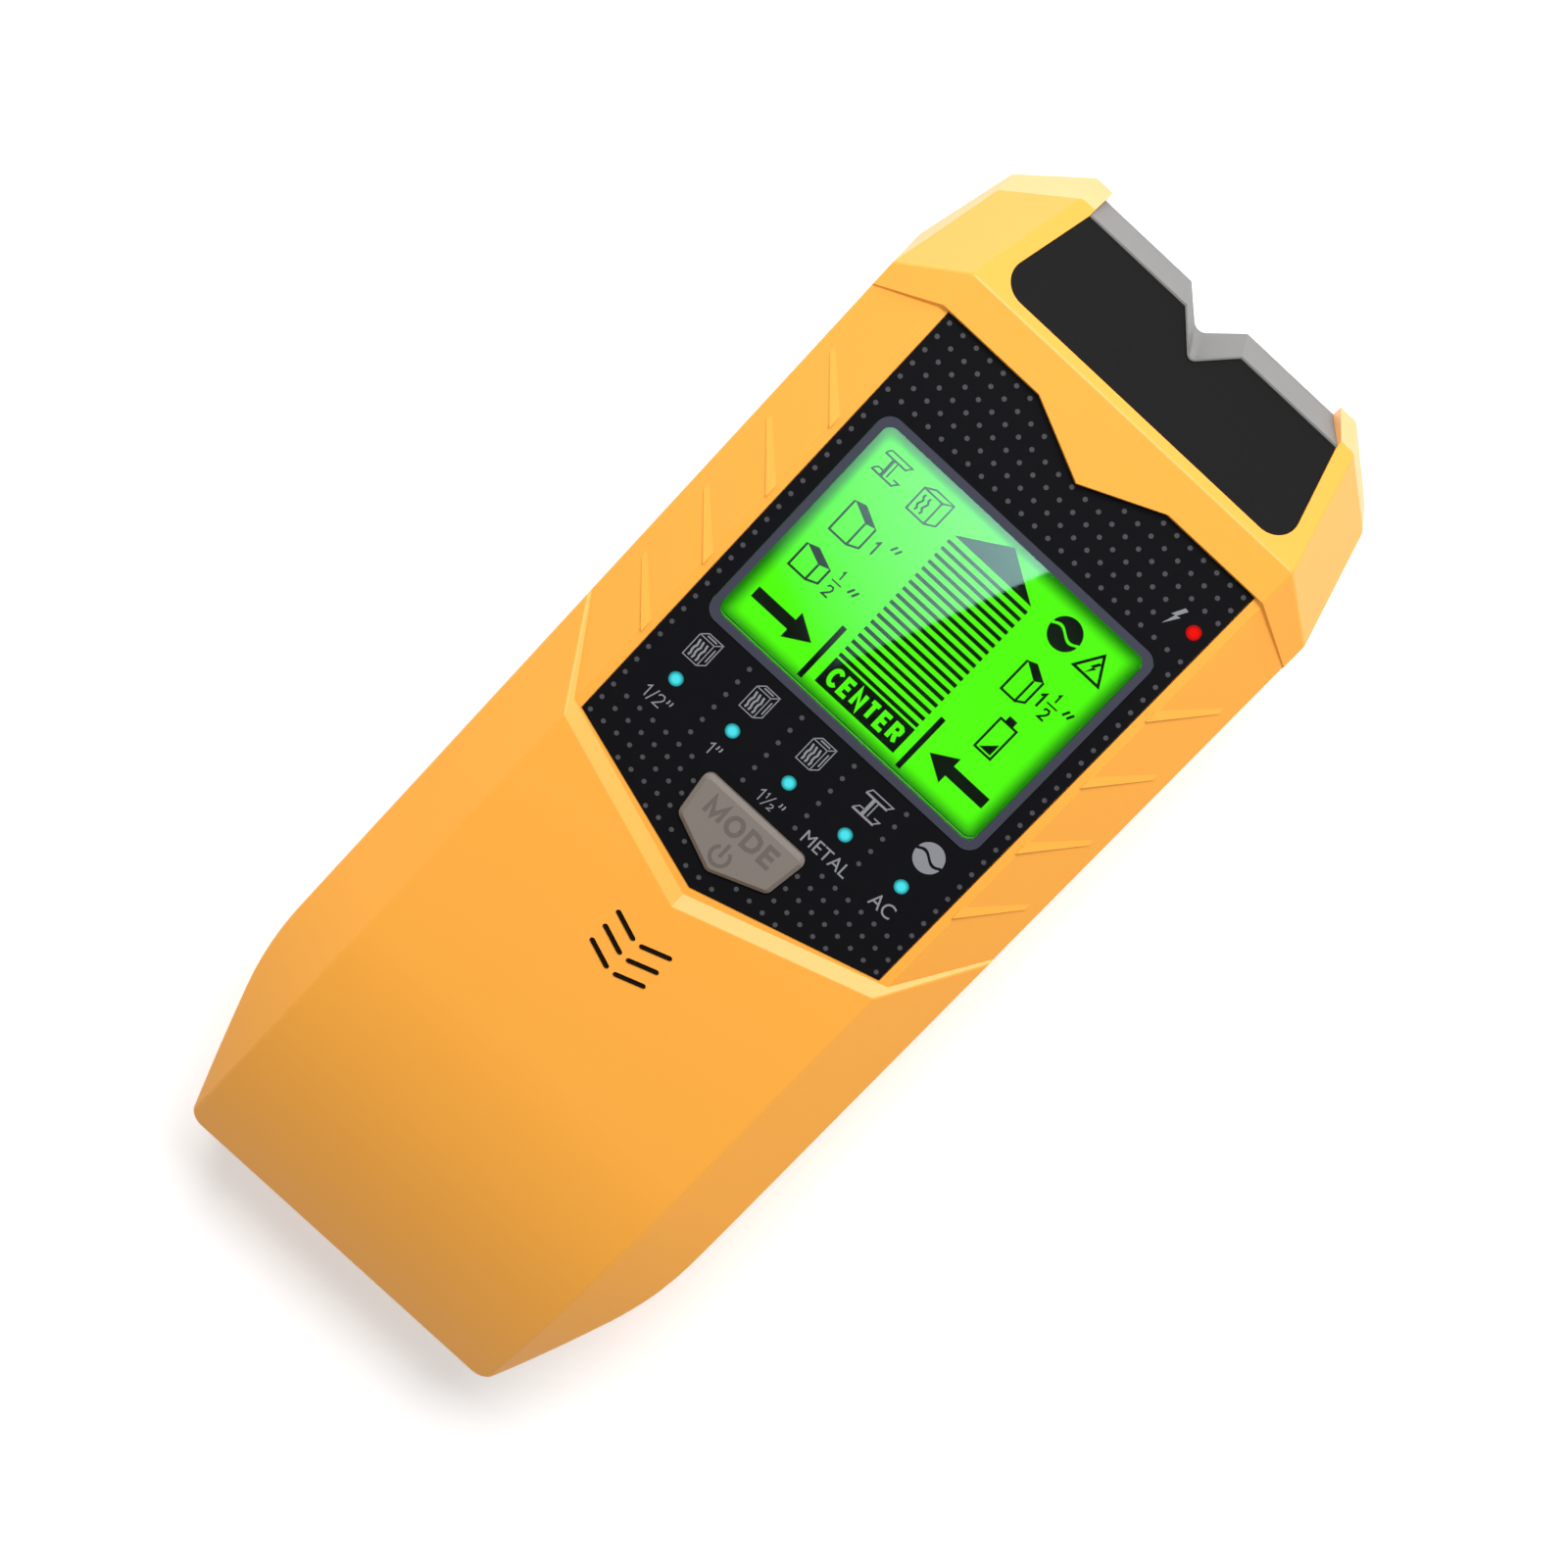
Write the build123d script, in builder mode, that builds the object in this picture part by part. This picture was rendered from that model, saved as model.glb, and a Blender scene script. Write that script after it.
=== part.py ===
from build123d import *
import os
from math import atan2, cos, degrees, hypot, radians, sin, tan

os.makedirs("parts", exist_ok=True)

# Handheld stud finder, in millimetres. It lies on its back with the display up.
# +X is right, +Y points to the sensing head, +Z comes out of the display.
# The origin is on the surface it lies on, below the middle of its box.

# ---- case: plan ----
HALF_LENGTH = 84.25
HALF_WIDTH = 34.15
HEAD_SHOULDER_Y = 63.8  # the straight sides end here and the head narrows
HEAD_KNEE = (30.7, 77.3)
HORN_OUTER = (22.5, HALF_LENGTH)
TAIL_BEND_Y = -49.5  # the straight sides end here and the tail narrows
TAIL_RADIUS = 48.4
TAIL_TAPER = 16.2  # degrees from the long axis
TAIL_CORNER_R = 2.6
PLAN_CORNER_R = 1.2
WALL = 2.2

# ---- case: levels and slopes ----
PAD_T = 0.8
SEAM_Z = 1.6  # bottom edge of the front shell
PANEL_Z = 35.2  # flat round the face plate
RIDGE_Z = 36.3  # handle and head stand above the flat
RIDGE_X = 26.2  # the flat top ends here and the side bevel begins
WAIST_X = 26.5
BEVEL_DROP = 0.679  # fall of the handle's side bevel per millimetre outwards
WAIST_DROP = 0.614
HANDLE_ARC_Y = -41.8  # the handle's back starts to curve down here
HANDLE_ARC_R = 78.0
RIDGE_Y = 70.3  # the head slopes down from this line
HEAD_DROP = 0.8
HEAD_FACET_END = (22.9, 83.4)  # each side facet of the head's slope runs out here
CREASE_R = 0.7
EDGE_R = 0.5
SEAM_GAP = 0.05
LUMP_H = 40.0  # taller than the case; trimmed by the roof
LOFTY = 60.0  # cuts that must reach right through
RIB_TOP_Y = 46.5
RIB_PITCH = 11.6
RIB_OUTER_X = 32.4
RIB_RISE = 5.2
RIB_W = 1.9
RIB_TIP_W = 1.0
RIB_T = 0.45
RIB_START_X = 26.2

# ---- steps between the waist and its raised neighbours ----
HANDLE_V_TIP_Y = -13.6
HANDLE_V_SIDE_Y = -4.6
HANDLE_V_END = (31.9, 1.3)
HANDLE_STEP_RUN = 1.9
HEAD_STEP_Y = 65.15
HEAD_STEP_RUN = 0.4
HEAD_SIDE_RUN = 0.8
HEAD_V_X = 10.6
HEAD_V_TIP_Y = 60.35
HEAD_V_END = (31.3, 62.0)

# ---- face plate, display and controls ----
PLATE_HALF = 25.1
PLATE_TOP = 64.7
PLATE_V = (10.45, 59.9)
PLATE_CORNER_Y = -2.75
PLATE_TIP_Y = -10.55
PLATE_T = 0.8
PLATE_Z = 34.95  # its printed face, a little below the flat
ROOF_Z = 32.8  # inner face of the roof below the display area
DISPLAY_Y = 34.05
BEZEL_SIZE = (44.9, 34.1)
WINDOW_SIZE = (42.7, 31.9)
BUTTON_TOP_Y = 2.6
BUTTON_HALF = 8.5
BUTTON_LOW = (7.6, -4.2)
BUTTON_TIP_Y = -7.35
BUTTON_Z = 36.1
BUTTON_GAP = 0.15
SWITCH_Y = -2.2
LAMP_Y = 8.1
LAMP_PITCH = 9.5
LAMP_R = 0.95
WARNING_LAMP = (22.9, 56.5)
SLOT_PITCH = 2.53
SLOT_W = 0.8
SLOT_INNER = (0.8, -20.2)
SLOT_OUTER = (4.3, -18.9)
BUTTON_CORNER_R = 1.1
BUTTON_CHAMFER = 0.6
SKIRT_Z = (31.8, 32.7)  # flange that holds the button and the light pipes in
SKIRT_GROW = 1.0
PLUNGER_R = 1.75
PLUNGER_L = 1.2
SWITCH_SIZE = (6.0, 6.0, 3.4)
PIPE_Z = 28.7
PIPE_FLANGE_R = 1.5
LAMP_CHIP = (2.0, 1.25, 0.9)
LENS_Z = (33.4, 34.8)
BEZEL_TOP_Z = 35.2
CELL_SIZE = (46.0, 37.0)
CELL_Z = 30.9
CELL_T = 1.8
BACKLIGHT_SIZE = (44.0, 31.4)
STRIP_Y = 17.15
STRIP_SIZE = (40.0, 1.4)
HOLDER_SIZE = (49.0, 39.6)
FIT = 0.1

# ---- head end ----
NOSE_HALF = 20.45
NOSE_Y = 83.6
NOSE_TOP_Z = 25.7
NOSE_DRAFT = 1.75  # degrees that the end wall and its notch lean in towards the wall side
NOSE_WALL = 2.25
NOTCH_HALF = 4.6
NOTCH_DEPTH = 4.2
NOTCH_R = 0.8
COVER_T = 1.4
COVER_LOW_Y = 71.5
COVER_LOW_HALF = 23.7
COVER_CORNER_R = 3.3
COVER_LIP = 0.3
COVER_SINK = 0.15
COVER_GAP = 0.08
TAB_X = 19.5
TAB_SIZE = (5.0, 1.8, 13.0)
HEAD_REACH = 75.8
NOSE_ROOM_W = 49.0

# ---- back, battery bay and door ----
PLATE_TOP_Z = 3.0
LIP_TOP_Z = 5.0
DOOR_HALF = 16.0
DOOR_FLANGE = 1.3
DOOR_FRONT_Y = -22.7
DOOR_STEP_Z = 1.75
DOOR_TOP_Z = 2.9
DOOR_GAP = 0.15
TONGUE_HALF = 6.0
TONGUE_L = 2.2
BAY_HALF = 14.0
BAY_WALL = 1.8
BAY_LOW_Y = -80.2
BAY_HIGH_Y = -23.0
BAY_CEILING_Z = 21.7
BAY_END_TOP_Z = 21.4
BAY_ROOF_T = 1.3
BAY_FOOT_HALF = 19.0
BAY_FOOT_T = 1.7
LEAD_WINDOW = (12.0, 6.0)
LEAD_WINDOW_Z = 13.0
GRIP_Y = -72.0
GRIP_PITCH = 2.2
GRIP_ROWS = 6
GRIP_SIZE = (14.0, 1.0, 0.5)
BATTERY_SIZE = (26.5, 48.5, 17.5)
BATTERY_LOW_Y = -79.6
BATTERY_LOW_Z = 3.2
CAN_T = 0.5
CAN_R = 2.0
CELL_R = 4.0
CELL_L = 42.0
CELL_PITCH = (8.25, 8.1)
BATTERY_TOP_T = 2.0
STUD_X = 6.35
STUD_L = 3.0
STUD_R = 2.9
SOCKET_R = 3.6
SNAP_SIZE = (24.0, 2.6, 13.0)
LEAD_X = 3.0
LEAD_Y = -12.0
LEAD_R = 0.7
LEAD_BEND_R = 3.2
LEAD_LIFT = 4.5
FOAM_SIZE = (16.0, 30.0, 0.9)

# ---- boards and fasteners ----
BOARD_T = 1.6
MAIN_Z = 26.0
MAIN_HALF = 25.0
MAIN_Y = (-34.0, 63.0)
SENSOR_Z = 5.2
SENSOR_HALF = 24.0
SENSOR_Y = (-12.0, 70.0)
BUZZER_Y = -22.6
BUZZER_R = 6.0
BUZZER_H = 5.4
BUZZER_HOLE_R = 1.0
MESH_SIZE = (13.0, 9.0, 0.5)
MESH_Z = 33.4
CHIP_SIZE = (12.0, 12.0, 1.5)
PART_T = 0.9
BOARD_CORNER_R = 2.0
SCREW_HOLE_R = 1.1
COPPER_T = 0.1
PLATE_SIZE = (44.0, 16.0)
SENSE_Y = (7.0, 29.0, 51.0)
COIL_Y = 44.0
COIL_R = (9.1, 14.0)
COIL_H = 3.0
FORMER_R = (6.0, 9.0)
FORMER_H = 4.0
HEADER_Y = -2.0
HEADER_PITCH = 2.54
HEADER_PINS = 8
HEADER_SIZE = (2.5, 2.5)
PIN_R = 0.32
CASE_SCREWS = ((28.3, 57.0), (27.2, -60.0))
CASE_POST_TOP = (31.4, 29.4)
POST_Z = 12.0
BOARD_SCREWS = ((20.0, 59.8), (20.0, -29.0))
BOARD_POST_TOP = (33.4, 34.8)
SENSOR_SCREWS = ((20.5, 64.0), (20.5, -6.0))
PAD_PLACES = ((20.5, 69.0), (22.3, -68.0))
PAD_SIZE = (14.0, 5.5)
CASE_POST_R = 2.6
CASE_TUBE_R = 3.0
BOARD_POST_R = 2.3
STANDOFF_R = 2.5
SCREW_BITE_R = 1.25
CASE_SCREW_R = (2.2, 1.2)  # head and shank
CASE_SCREW_Z = 2.0
CASE_HEAD_T = 1.4
CASE_SHANK_L = 18.0
CROSS_SIZE = (2.4, 0.6, 0.8)
SMALL_HEAD_R = 1.9
SMALL_HEAD_T = 1.3
SMALL_SHANK_R = (0.95, 0.9)
HOLDER_Z = MAIN_Z + BOARD_T
LOW_BACK = (Align.CENTER, Align.MAX, Align.MIN)
ON_BASE = (Align.CENTER, Align.CENTER, Align.MIN)
UNDER = (Align.CENTER, Align.CENTER, Align.MAX)


def both_sides(places):
    """The places and their mirror images across the middle of the case."""
    return [(side * x, y) for x, y in places for side in (-1, 1)]


def plane_through(first, second, third):
    """A plane through three points, with its normal turned upwards."""
    start = Vector(*first)
    normal = (Vector(*second) - start).cross(Vector(*third) - start)
    return Plane(origin=start, z_dir=normal if normal.Z > 0 else normal * -1)


def mirrored(plane):
    """The same plane on the other side of the case."""
    at, up = plane.origin, plane.z_dir
    return Plane(origin=(-at.X, at.Y, at.Z), z_dir=(-up.X, up.Y, up.Z))


def bevel_z(x, top_x, top_z, drop):
    """Height of a side bevel at x."""
    return top_z - (x - top_x) * drop


def outline(inset):
    """The case seen from above, moved in by inset all round."""
    bend_x = HALF_WIDTH - TAIL_RADIUS
    taper = radians(TAIL_TAPER)
    taper_start = (bend_x + TAIL_RADIUS * cos(taper), TAIL_BEND_Y - TAIL_RADIUS * sin(taper))
    tail_half = taper_start[0] - (taper_start[1] + HALF_LENGTH) * tan(taper)
    with BuildSketch() as plan:
        with BuildLine():
            Polyline((0, -HALF_LENGTH), (tail_half, -HALF_LENGTH), taper_start)
            TangentArc(
                taper_start,
                (HALF_WIDTH, TAIL_BEND_Y),
                tangent=(sin(taper), cos(taper)),
            )
            Polyline(
                (HALF_WIDTH, TAIL_BEND_Y),
                (HALF_WIDTH, HEAD_SHOULDER_Y),
                HEAD_KNEE,
                HORN_OUTER,
                (0, HALF_LENGTH),
            )
            mirror(about=Plane.YZ)
        make_face()
        tail_corners = plan.vertices().group_by(Axis.Y)[0].sort_by(Axis.X)
        fillet([tail_corners[0], tail_corners[-1]], radius=TAIL_CORNER_R)
        head_corners = plan.vertices().filter_by_position(
            Axis.Y, HEAD_SHOULDER_Y - 0.1, HORN_OUTER[1] + 0.1
        )
        fillet(head_corners, radius=PLAN_CORNER_R)
        if inset:
            offset(amount=-inset, kind=Kind.INTERSECTION)
    return plan.sketch


def roof_profile(half_top, top_z, drop, inset):
    """Cross-section of the case: a flat top with a bevel at each side."""
    beyond = 60.0
    bottom = -20.0
    side_z = bevel_z(beyond, half_top, top_z, drop)
    with BuildSketch(Plane.XZ) as profile:
        with BuildLine():
            Polyline(
                (-beyond, bottom),
                (-beyond, side_z),
                (-half_top, top_z),
                (half_top, top_z),
                (beyond, side_z),
                (beyond, bottom),
                close=True,
            )
        make_face()
        if inset:
            offset(amount=-inset, kind=Kind.INTERSECTION)
    return profile.sketch


OUTER = outline(0)
INNER = outline(WALL)
BACK_EDGE = outline(0.4)
BACK_INSIDE = outline(WALL + 0.15)
LIP_INSIDE = outline(WALL + 1.45)
HIGH_PROFILE = roof_profile(RIDGE_X, RIDGE_Z, BEVEL_DROP, 0)
HIGH_INSIDE = roof_profile(RIDGE_X, RIDGE_Z, BEVEL_DROP, WALL + 0.1)
WAIST_PROFILE = roof_profile(WAIST_X, PANEL_Z, WAIST_DROP, 0)
WAIST_INSIDE = roof_profile(WAIST_X, PANEL_Z, WAIST_DROP, PANEL_Z - ROOF_Z)

# The head's slope, and the facet that runs down each side of it.
slope_length = hypot(1.0, HEAD_DROP)
slope_up = Vector(0, HEAD_DROP / slope_length, 1 / slope_length)
slope_plane = Plane(origin=(0, RIDGE_Y, RIDGE_Z), x_dir=(1, 0, 0), z_dir=slope_up)
facet_end_z = RIDGE_Z - (HEAD_FACET_END[1] - RIDGE_Y) * HEAD_DROP
shoulder_z = bevel_z(HALF_WIDTH, RIDGE_X, RIDGE_Z, BEVEL_DROP)
head_facet = plane_through(
    (RIDGE_X, RIDGE_Y, RIDGE_Z),
    (HALF_WIDTH, HEAD_SHOULDER_Y, shoulder_z),
    (*HEAD_FACET_END, facet_end_z),
)

# The facets that step up from the waist to the handle and to the head.
handle_v = plane_through(
    (0, HANDLE_V_TIP_Y, RIDGE_Z),
    (RIDGE_X, HANDLE_V_SIDE_Y, RIDGE_Z),
    (0, HANDLE_V_TIP_Y + HANDLE_STEP_RUN, PANEL_Z),
)
handle_side = plane_through(
    (RIDGE_X, HANDLE_V_SIDE_Y, RIDGE_Z),
    (*HANDLE_V_END, bevel_z(HANDLE_V_END[0], RIDGE_X, RIDGE_Z, BEVEL_DROP)),
    (RIDGE_X, HANDLE_V_SIDE_Y + HANDLE_STEP_RUN, PANEL_Z),
)
head_band = plane_through(
    (0, HEAD_STEP_Y, RIDGE_Z),
    (RIDGE_X, HEAD_STEP_Y, RIDGE_Z),
    (0, HEAD_STEP_Y - HEAD_STEP_RUN, PANEL_Z),
)
head_side = plane_through(
    (RIDGE_X, HEAD_STEP_Y, RIDGE_Z),
    (*HEAD_V_END, bevel_z(HEAD_V_END[0], RIDGE_X, RIDGE_Z, BEVEL_DROP)),
    (WAIST_X, HEAD_STEP_Y - HEAD_SIDE_RUN, PANEL_Z),
)
head_v = plane_through(
    (0, HEAD_V_TIP_Y, RIDGE_Z),
    (HEAD_V_X, HEAD_STEP_Y, RIDGE_Z),
    (0, HEAD_V_TIP_Y - HEAD_STEP_RUN, PANEL_Z),
)

# ---- outlines shared by mating pieces ----
plate_points = [
    (-PLATE_HALF, PLATE_CORNER_Y),
    (0, PLATE_TIP_Y),
    (PLATE_HALF, PLATE_CORNER_Y),
    (PLATE_HALF, PLATE_TOP),
    (PLATE_V[0], PLATE_TOP),
    (0, PLATE_V[1]),
    (-PLATE_V[0], PLATE_TOP),
    (-PLATE_HALF, PLATE_TOP),
]
button_points = [
    (-BUTTON_HALF, BUTTON_TOP_Y),
    (-BUTTON_LOW[0], BUTTON_LOW[1]),
    (0, BUTTON_TIP_Y),
    (BUTTON_LOW[0], BUTTON_LOW[1]),
    (BUTTON_HALF, BUTTON_TOP_Y),
]
lamp_places = [(step * LAMP_PITCH, LAMP_Y) for step in range(-2, 3)]
lamp_names = ["half_inch_lamp", "one_inch_lamp", "deep_scan_lamp", "metal_lamp", "ac_lamp"]
all_lamps = lamp_places + [WARNING_LAMP]
notch_tip = NOSE_Y - NOTCH_DEPTH
notch_angle = atan2(NOTCH_HALF, NOTCH_DEPTH)
nose_back_y = NOSE_Y - NOSE_WALL
back_tip = notch_tip - NOSE_WALL / sin(notch_angle)
back_knee_x = (nose_back_y - back_tip) * tan(notch_angle)
nose_foot_y = NOSE_Y - NOSE_TOP_Z * tan(radians(NOSE_DRAFT))
nose_face = Plane(
    origin=(0, NOSE_Y, NOSE_TOP_Z),
    z_dir=(0, cos(radians(NOSE_DRAFT)), -sin(radians(NOSE_DRAFT))),
)


def button_outline(grow):
    """The mode button seen from above, with rounded corners."""
    with BuildSketch() as face:
        with BuildLine():
            Polyline(*button_points, close=True)
        make_face()
        fillet(face.vertices(), radius=BUTTON_CORNER_R)
        if grow:
            offset(amount=grow, kind=Kind.ARC)
    return face.sketch


def notch_outline(reach):
    """The V that guides a pencil, run out past the head by reach."""
    far = NOTCH_HALF + reach * tan(notch_angle)
    with BuildSketch() as face:
        with BuildLine():
            Polyline((-far, NOSE_Y + reach), (0, notch_tip), (far, NOSE_Y + reach), close=True)
        make_face()
        fillet(face.vertices().sort_by(Axis.Y)[0], radius=NOTCH_R)
    return face.sketch


def nose_side(side, gap):
    """The leaning plane where one end of the nose meets its horn."""
    lean = radians(NOSE_DRAFT)
    return Plane(
        origin=(side * (NOSE_HALF + gap), 0, NOSE_TOP_Z),
        z_dir=(side * cos(lean), 0, -sin(lean)),
    )


def along_slope(y):
    """Distance down the head's slope at a place y along the case."""
    return (y - RIDGE_Y) * slope_length


with BuildSketch() as cover_sketch:
    with BuildLine():
        Polyline(
            (-COVER_LOW_HALF, along_slope(COVER_LOW_Y)),
            (COVER_LOW_HALF, along_slope(COVER_LOW_Y)),
            (NOSE_HALF, along_slope(NOSE_Y - COVER_LIP)),
            (-NOSE_HALF, along_slope(NOSE_Y - COVER_LIP)),
            close=True,
        )
    make_face()
    fillet(cover_sketch.vertices().group_by(Axis.Y)[0], radius=COVER_CORNER_R)
COVER_FACE = cover_sketch.sketch

with BuildPart() as notch_space:
    with BuildSketch(Plane.XY.offset(NOSE_TOP_Z)):
        add(notch_outline(4.0))
    extrude(amount=6)
    with BuildSketch(Plane.XY.offset(NOSE_TOP_Z)):
        add(notch_outline(4.0))
    extrude(amount=-NOSE_TOP_Z, taper=-NOSE_DRAFT)

with BuildPart() as nose_opening:
    with BuildSketch():
        with BuildLine():
            Polyline(
                (-NOSE_HALF - 1, HALF_LENGTH + 5),
                (-NOSE_HALF - 1, nose_back_y - 0.05),
                (-back_knee_x, nose_back_y - 0.05),
                (0, back_tip - 0.05),
                (back_knee_x, nose_back_y - 0.05),
                (NOSE_HALF + 1, nose_back_y - 0.05),
                (NOSE_HALF + 1, HALF_LENGTH + 5),
                close=True,
            )
        make_face()
    extrude(amount=LOFTY)
    for side in (-1, 1):
        split(bisect_by=nose_side(side, 0.05), keep=Keep.BOTTOM)

BUTTON = button_outline(0)
BUTTON_HOLE = button_outline(BUTTON_GAP)
BUTTON_SKIRT = button_outline(SKIRT_GROW)
NOTCH = notch_outline(4.0)

# ---- what the waist loses below the height of the handle and the head ----
with BuildPart() as handle_shoulders:
    with Locations((RIDGE_X, 5, RIDGE_Z - 6)):
        Box(30, 60, 16, align=(Align.MIN, Align.CENTER, Align.CENTER))
    split(bisect_by=handle_side, keep=Keep.BOTTOM)
    mirror(about=Plane.YZ)

with BuildPart() as handle_relief:
    with Locations((0, 5, RIDGE_Z - 6)):
        Box(90, 60, 14)
    for facet in (handle_v, mirrored(handle_v)):
        split(bisect_by=facet, keep=Keep.TOP)
    add(handle_shoulders.part, mode=Mode.SUBTRACT)

with BuildPart() as head_tongue:
    with Locations((0, HEAD_STEP_Y, RIDGE_Z - 6)):
        Box(40, 24, 20)
    for facet in (head_v, mirrored(head_v)):
        split(bisect_by=facet, keep=Keep.BOTTOM)

with BuildPart() as head_relief:
    with Locations((0, 47, RIDGE_Z - 6)):
        Box(90, 50, 14)
    for facet in (head_band, head_side, mirrored(head_side)):
        split(bisect_by=facet, keep=Keep.TOP)
    add(head_tongue.part, mode=Mode.SUBTRACT)

# ---- the whole case as one lump, and the hollow inside it ----
straight = 130.0
with BuildPart() as case_roof:
    extrude(HIGH_PROFILE.moved(Location((0, HANDLE_ARC_Y, 0))), amount=-straight)
    revolve(
        HIGH_PROFILE.moved(Location((0, HANDLE_ARC_Y, 0))),
        axis=Axis((0, HANDLE_ARC_Y, RIDGE_Z - HANDLE_ARC_R), (1, 0, 0)),
        revolution_arc=50,
    )

with BuildPart() as waist_lump:
    with BuildSketch(Plane.XY.offset(SEAM_Z)):
        add(OUTER)
    extrude(amount=LUMP_H)
    waist_length = HEAD_STEP_Y - HANDLE_V_TIP_Y
    extrude(
        WAIST_PROFILE.moved(Location((0, HANDLE_V_TIP_Y, 0))),
        amount=-waist_length,
        mode=Mode.INTERSECT,
    )
    split(bisect_by=head_facet, keep=Keep.BOTTOM)
    split(bisect_by=mirrored(head_facet), keep=Keep.BOTTOM)

with BuildPart() as case_lump:
    with BuildSketch(Plane.XY.offset(SEAM_Z)):
        add(OUTER)
    extrude(amount=LUMP_H)
    add(case_roof.part, mode=Mode.INTERSECT)
    split(bisect_by=slope_plane, keep=Keep.BOTTOM)
    split(bisect_by=head_facet, keep=Keep.BOTTOM)
    split(bisect_by=mirrored(head_facet), keep=Keep.BOTTOM)
    # soften the creases beside the flat top and round the head's slope
    upper = case_lump.edges().filter_by(lambda edge: edge.bounding_box().max.Z > 30)
    along = upper.filter_by(lambda edge: abs(abs(edge.center().X) - RIDGE_X) < 0.3)
    ridge = upper.filter_by_position(Axis.Y, RIDGE_Y - 0.01, RIDGE_Y + 0.01).sort_by(Axis.Z)[-1:]
    diagonals = upper.filter_by(
        lambda edge: edge.length > 10
        and abs(edge.center().X) > 20
        and edge.bounding_box().max.Z > RIDGE_Z - 0.1
        and edge.bounding_box().min.Y > HEAD_SHOULDER_Y - 2
    )
    fillet(list(along) + list(ridge) + list(diagonals), radius=CREASE_R)
    add(handle_relief.part, mode=Mode.SUBTRACT)
    add(head_relief.part, mode=Mode.SUBTRACT)
    add(waist_lump.part)
    # soften the edge of the handle's step and the edges above the side walls
    handle_step = case_lump.edges().filter_by(
        lambda edge: edge.length > 20
        and edge.bounding_box().min.Z > RIDGE_Z - 0.01
        and edge.bounding_box().min.Y > HANDLE_V_TIP_Y - 0.1
        and edge.bounding_box().max.Y < HANDLE_V_SIDE_Y + 0.1
        and abs(edge.center().X) < 0.6 * RIDGE_X
    )
    wall_tops = case_lump.edges().filter_by(
        lambda edge: edge.length > 5
        and edge.bounding_box().min.Z > 29
        and edge.bounding_box().max.Z > 30
        and abs(abs(edge.center().X) - HALF_WIDTH) < 0.01
    )
    fillet(list(handle_step) + list(wall_tops), radius=EDGE_R)

with BuildPart() as handle_hollow_roof:
    extrude(HIGH_INSIDE.moved(Location((0, HANDLE_ARC_Y, 0))), amount=-27)
    revolve(
        HIGH_INSIDE.moved(Location((0, HANDLE_ARC_Y, 0))),
        axis=Axis((0, HANDLE_ARC_Y, RIDGE_Z - HANDLE_ARC_R), (1, 0, 0)),
        revolution_arc=50,
    )

with BuildPart() as handle_hollow:
    with BuildSketch(Plane.XY.offset(SEAM_Z)):
        add(INNER)
    extrude(amount=LUMP_H)
    add(handle_hollow_roof.part, mode=Mode.INTERSECT)

with BuildPart() as front_hollow:
    with BuildSketch(Plane.XY.offset(SEAM_Z)):
        add(INNER)
    extrude(amount=LUMP_H)
    extrude(
        WAIST_INSIDE.moved(Location((0, HANDLE_V_TIP_Y - 2, 0))),
        amount=-straight,
        mode=Mode.INTERSECT,
    )
    split(bisect_by=slope_plane.offset(-COVER_T - 1.9), keep=Keep.BOTTOM)
    split(bisect_by=head_facet.offset(-WALL), keep=Keep.BOTTOM)
    split(bisect_by=mirrored(head_facet).offset(-WALL), keep=Keep.BOTTOM)

# ---- front shell ----
# Shallow slanted grip ribs, four on each side of the waist. Each is a wedge that
# rises from its edge nearer the head.
def waist_z(x):
    """Height of the waist's bevel at x."""
    return bevel_z(x, WAIST_X, PANEL_Z, WAIST_DROP)


with BuildPart() as grip_ribs:
    for step in range(4):
        top = RIB_TOP_Y - RIB_PITCH * step
        rib_face = plane_through(
            (RIB_START_X, top, waist_z(RIB_START_X) - 0.02),
            (RIB_OUTER_X, top + RIB_RISE, waist_z(RIB_OUTER_X) - 0.02),
            (RIB_START_X, top - RIB_W, waist_z(RIB_START_X) + RIB_T),
        )
        with BuildPart() as grip_rib:
            with BuildSketch(Plane.XY.offset(PANEL_Z - 6)):
                with BuildLine():
                    Polyline(
                        (RIB_START_X, top),
                        (RIB_OUTER_X, top + RIB_RISE),
                        (RIB_OUTER_X, top + RIB_RISE - RIB_TIP_W),
                        (RIB_START_X, top - RIB_W),
                        close=True,
                    )
                make_face()
            extrude(amount=9)
            split(bisect_by=rib_face, keep=Keep.BOTTOM)
    mirror(about=Plane.YZ)

with BuildPart() as cover_space:
    with BuildSketch(slope_plane.offset(-COVER_T - COVER_SINK)):
        add(COVER_FACE)
        offset(amount=COVER_GAP, kind=Kind.ARC)
    extrude(amount=6)
    with BuildSketch():
        add(NOTCH)
        offset(amount=COVER_LIP - COVER_GAP, kind=Kind.ARC)
    extrude(amount=LOFTY, mode=Mode.SUBTRACT)

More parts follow.
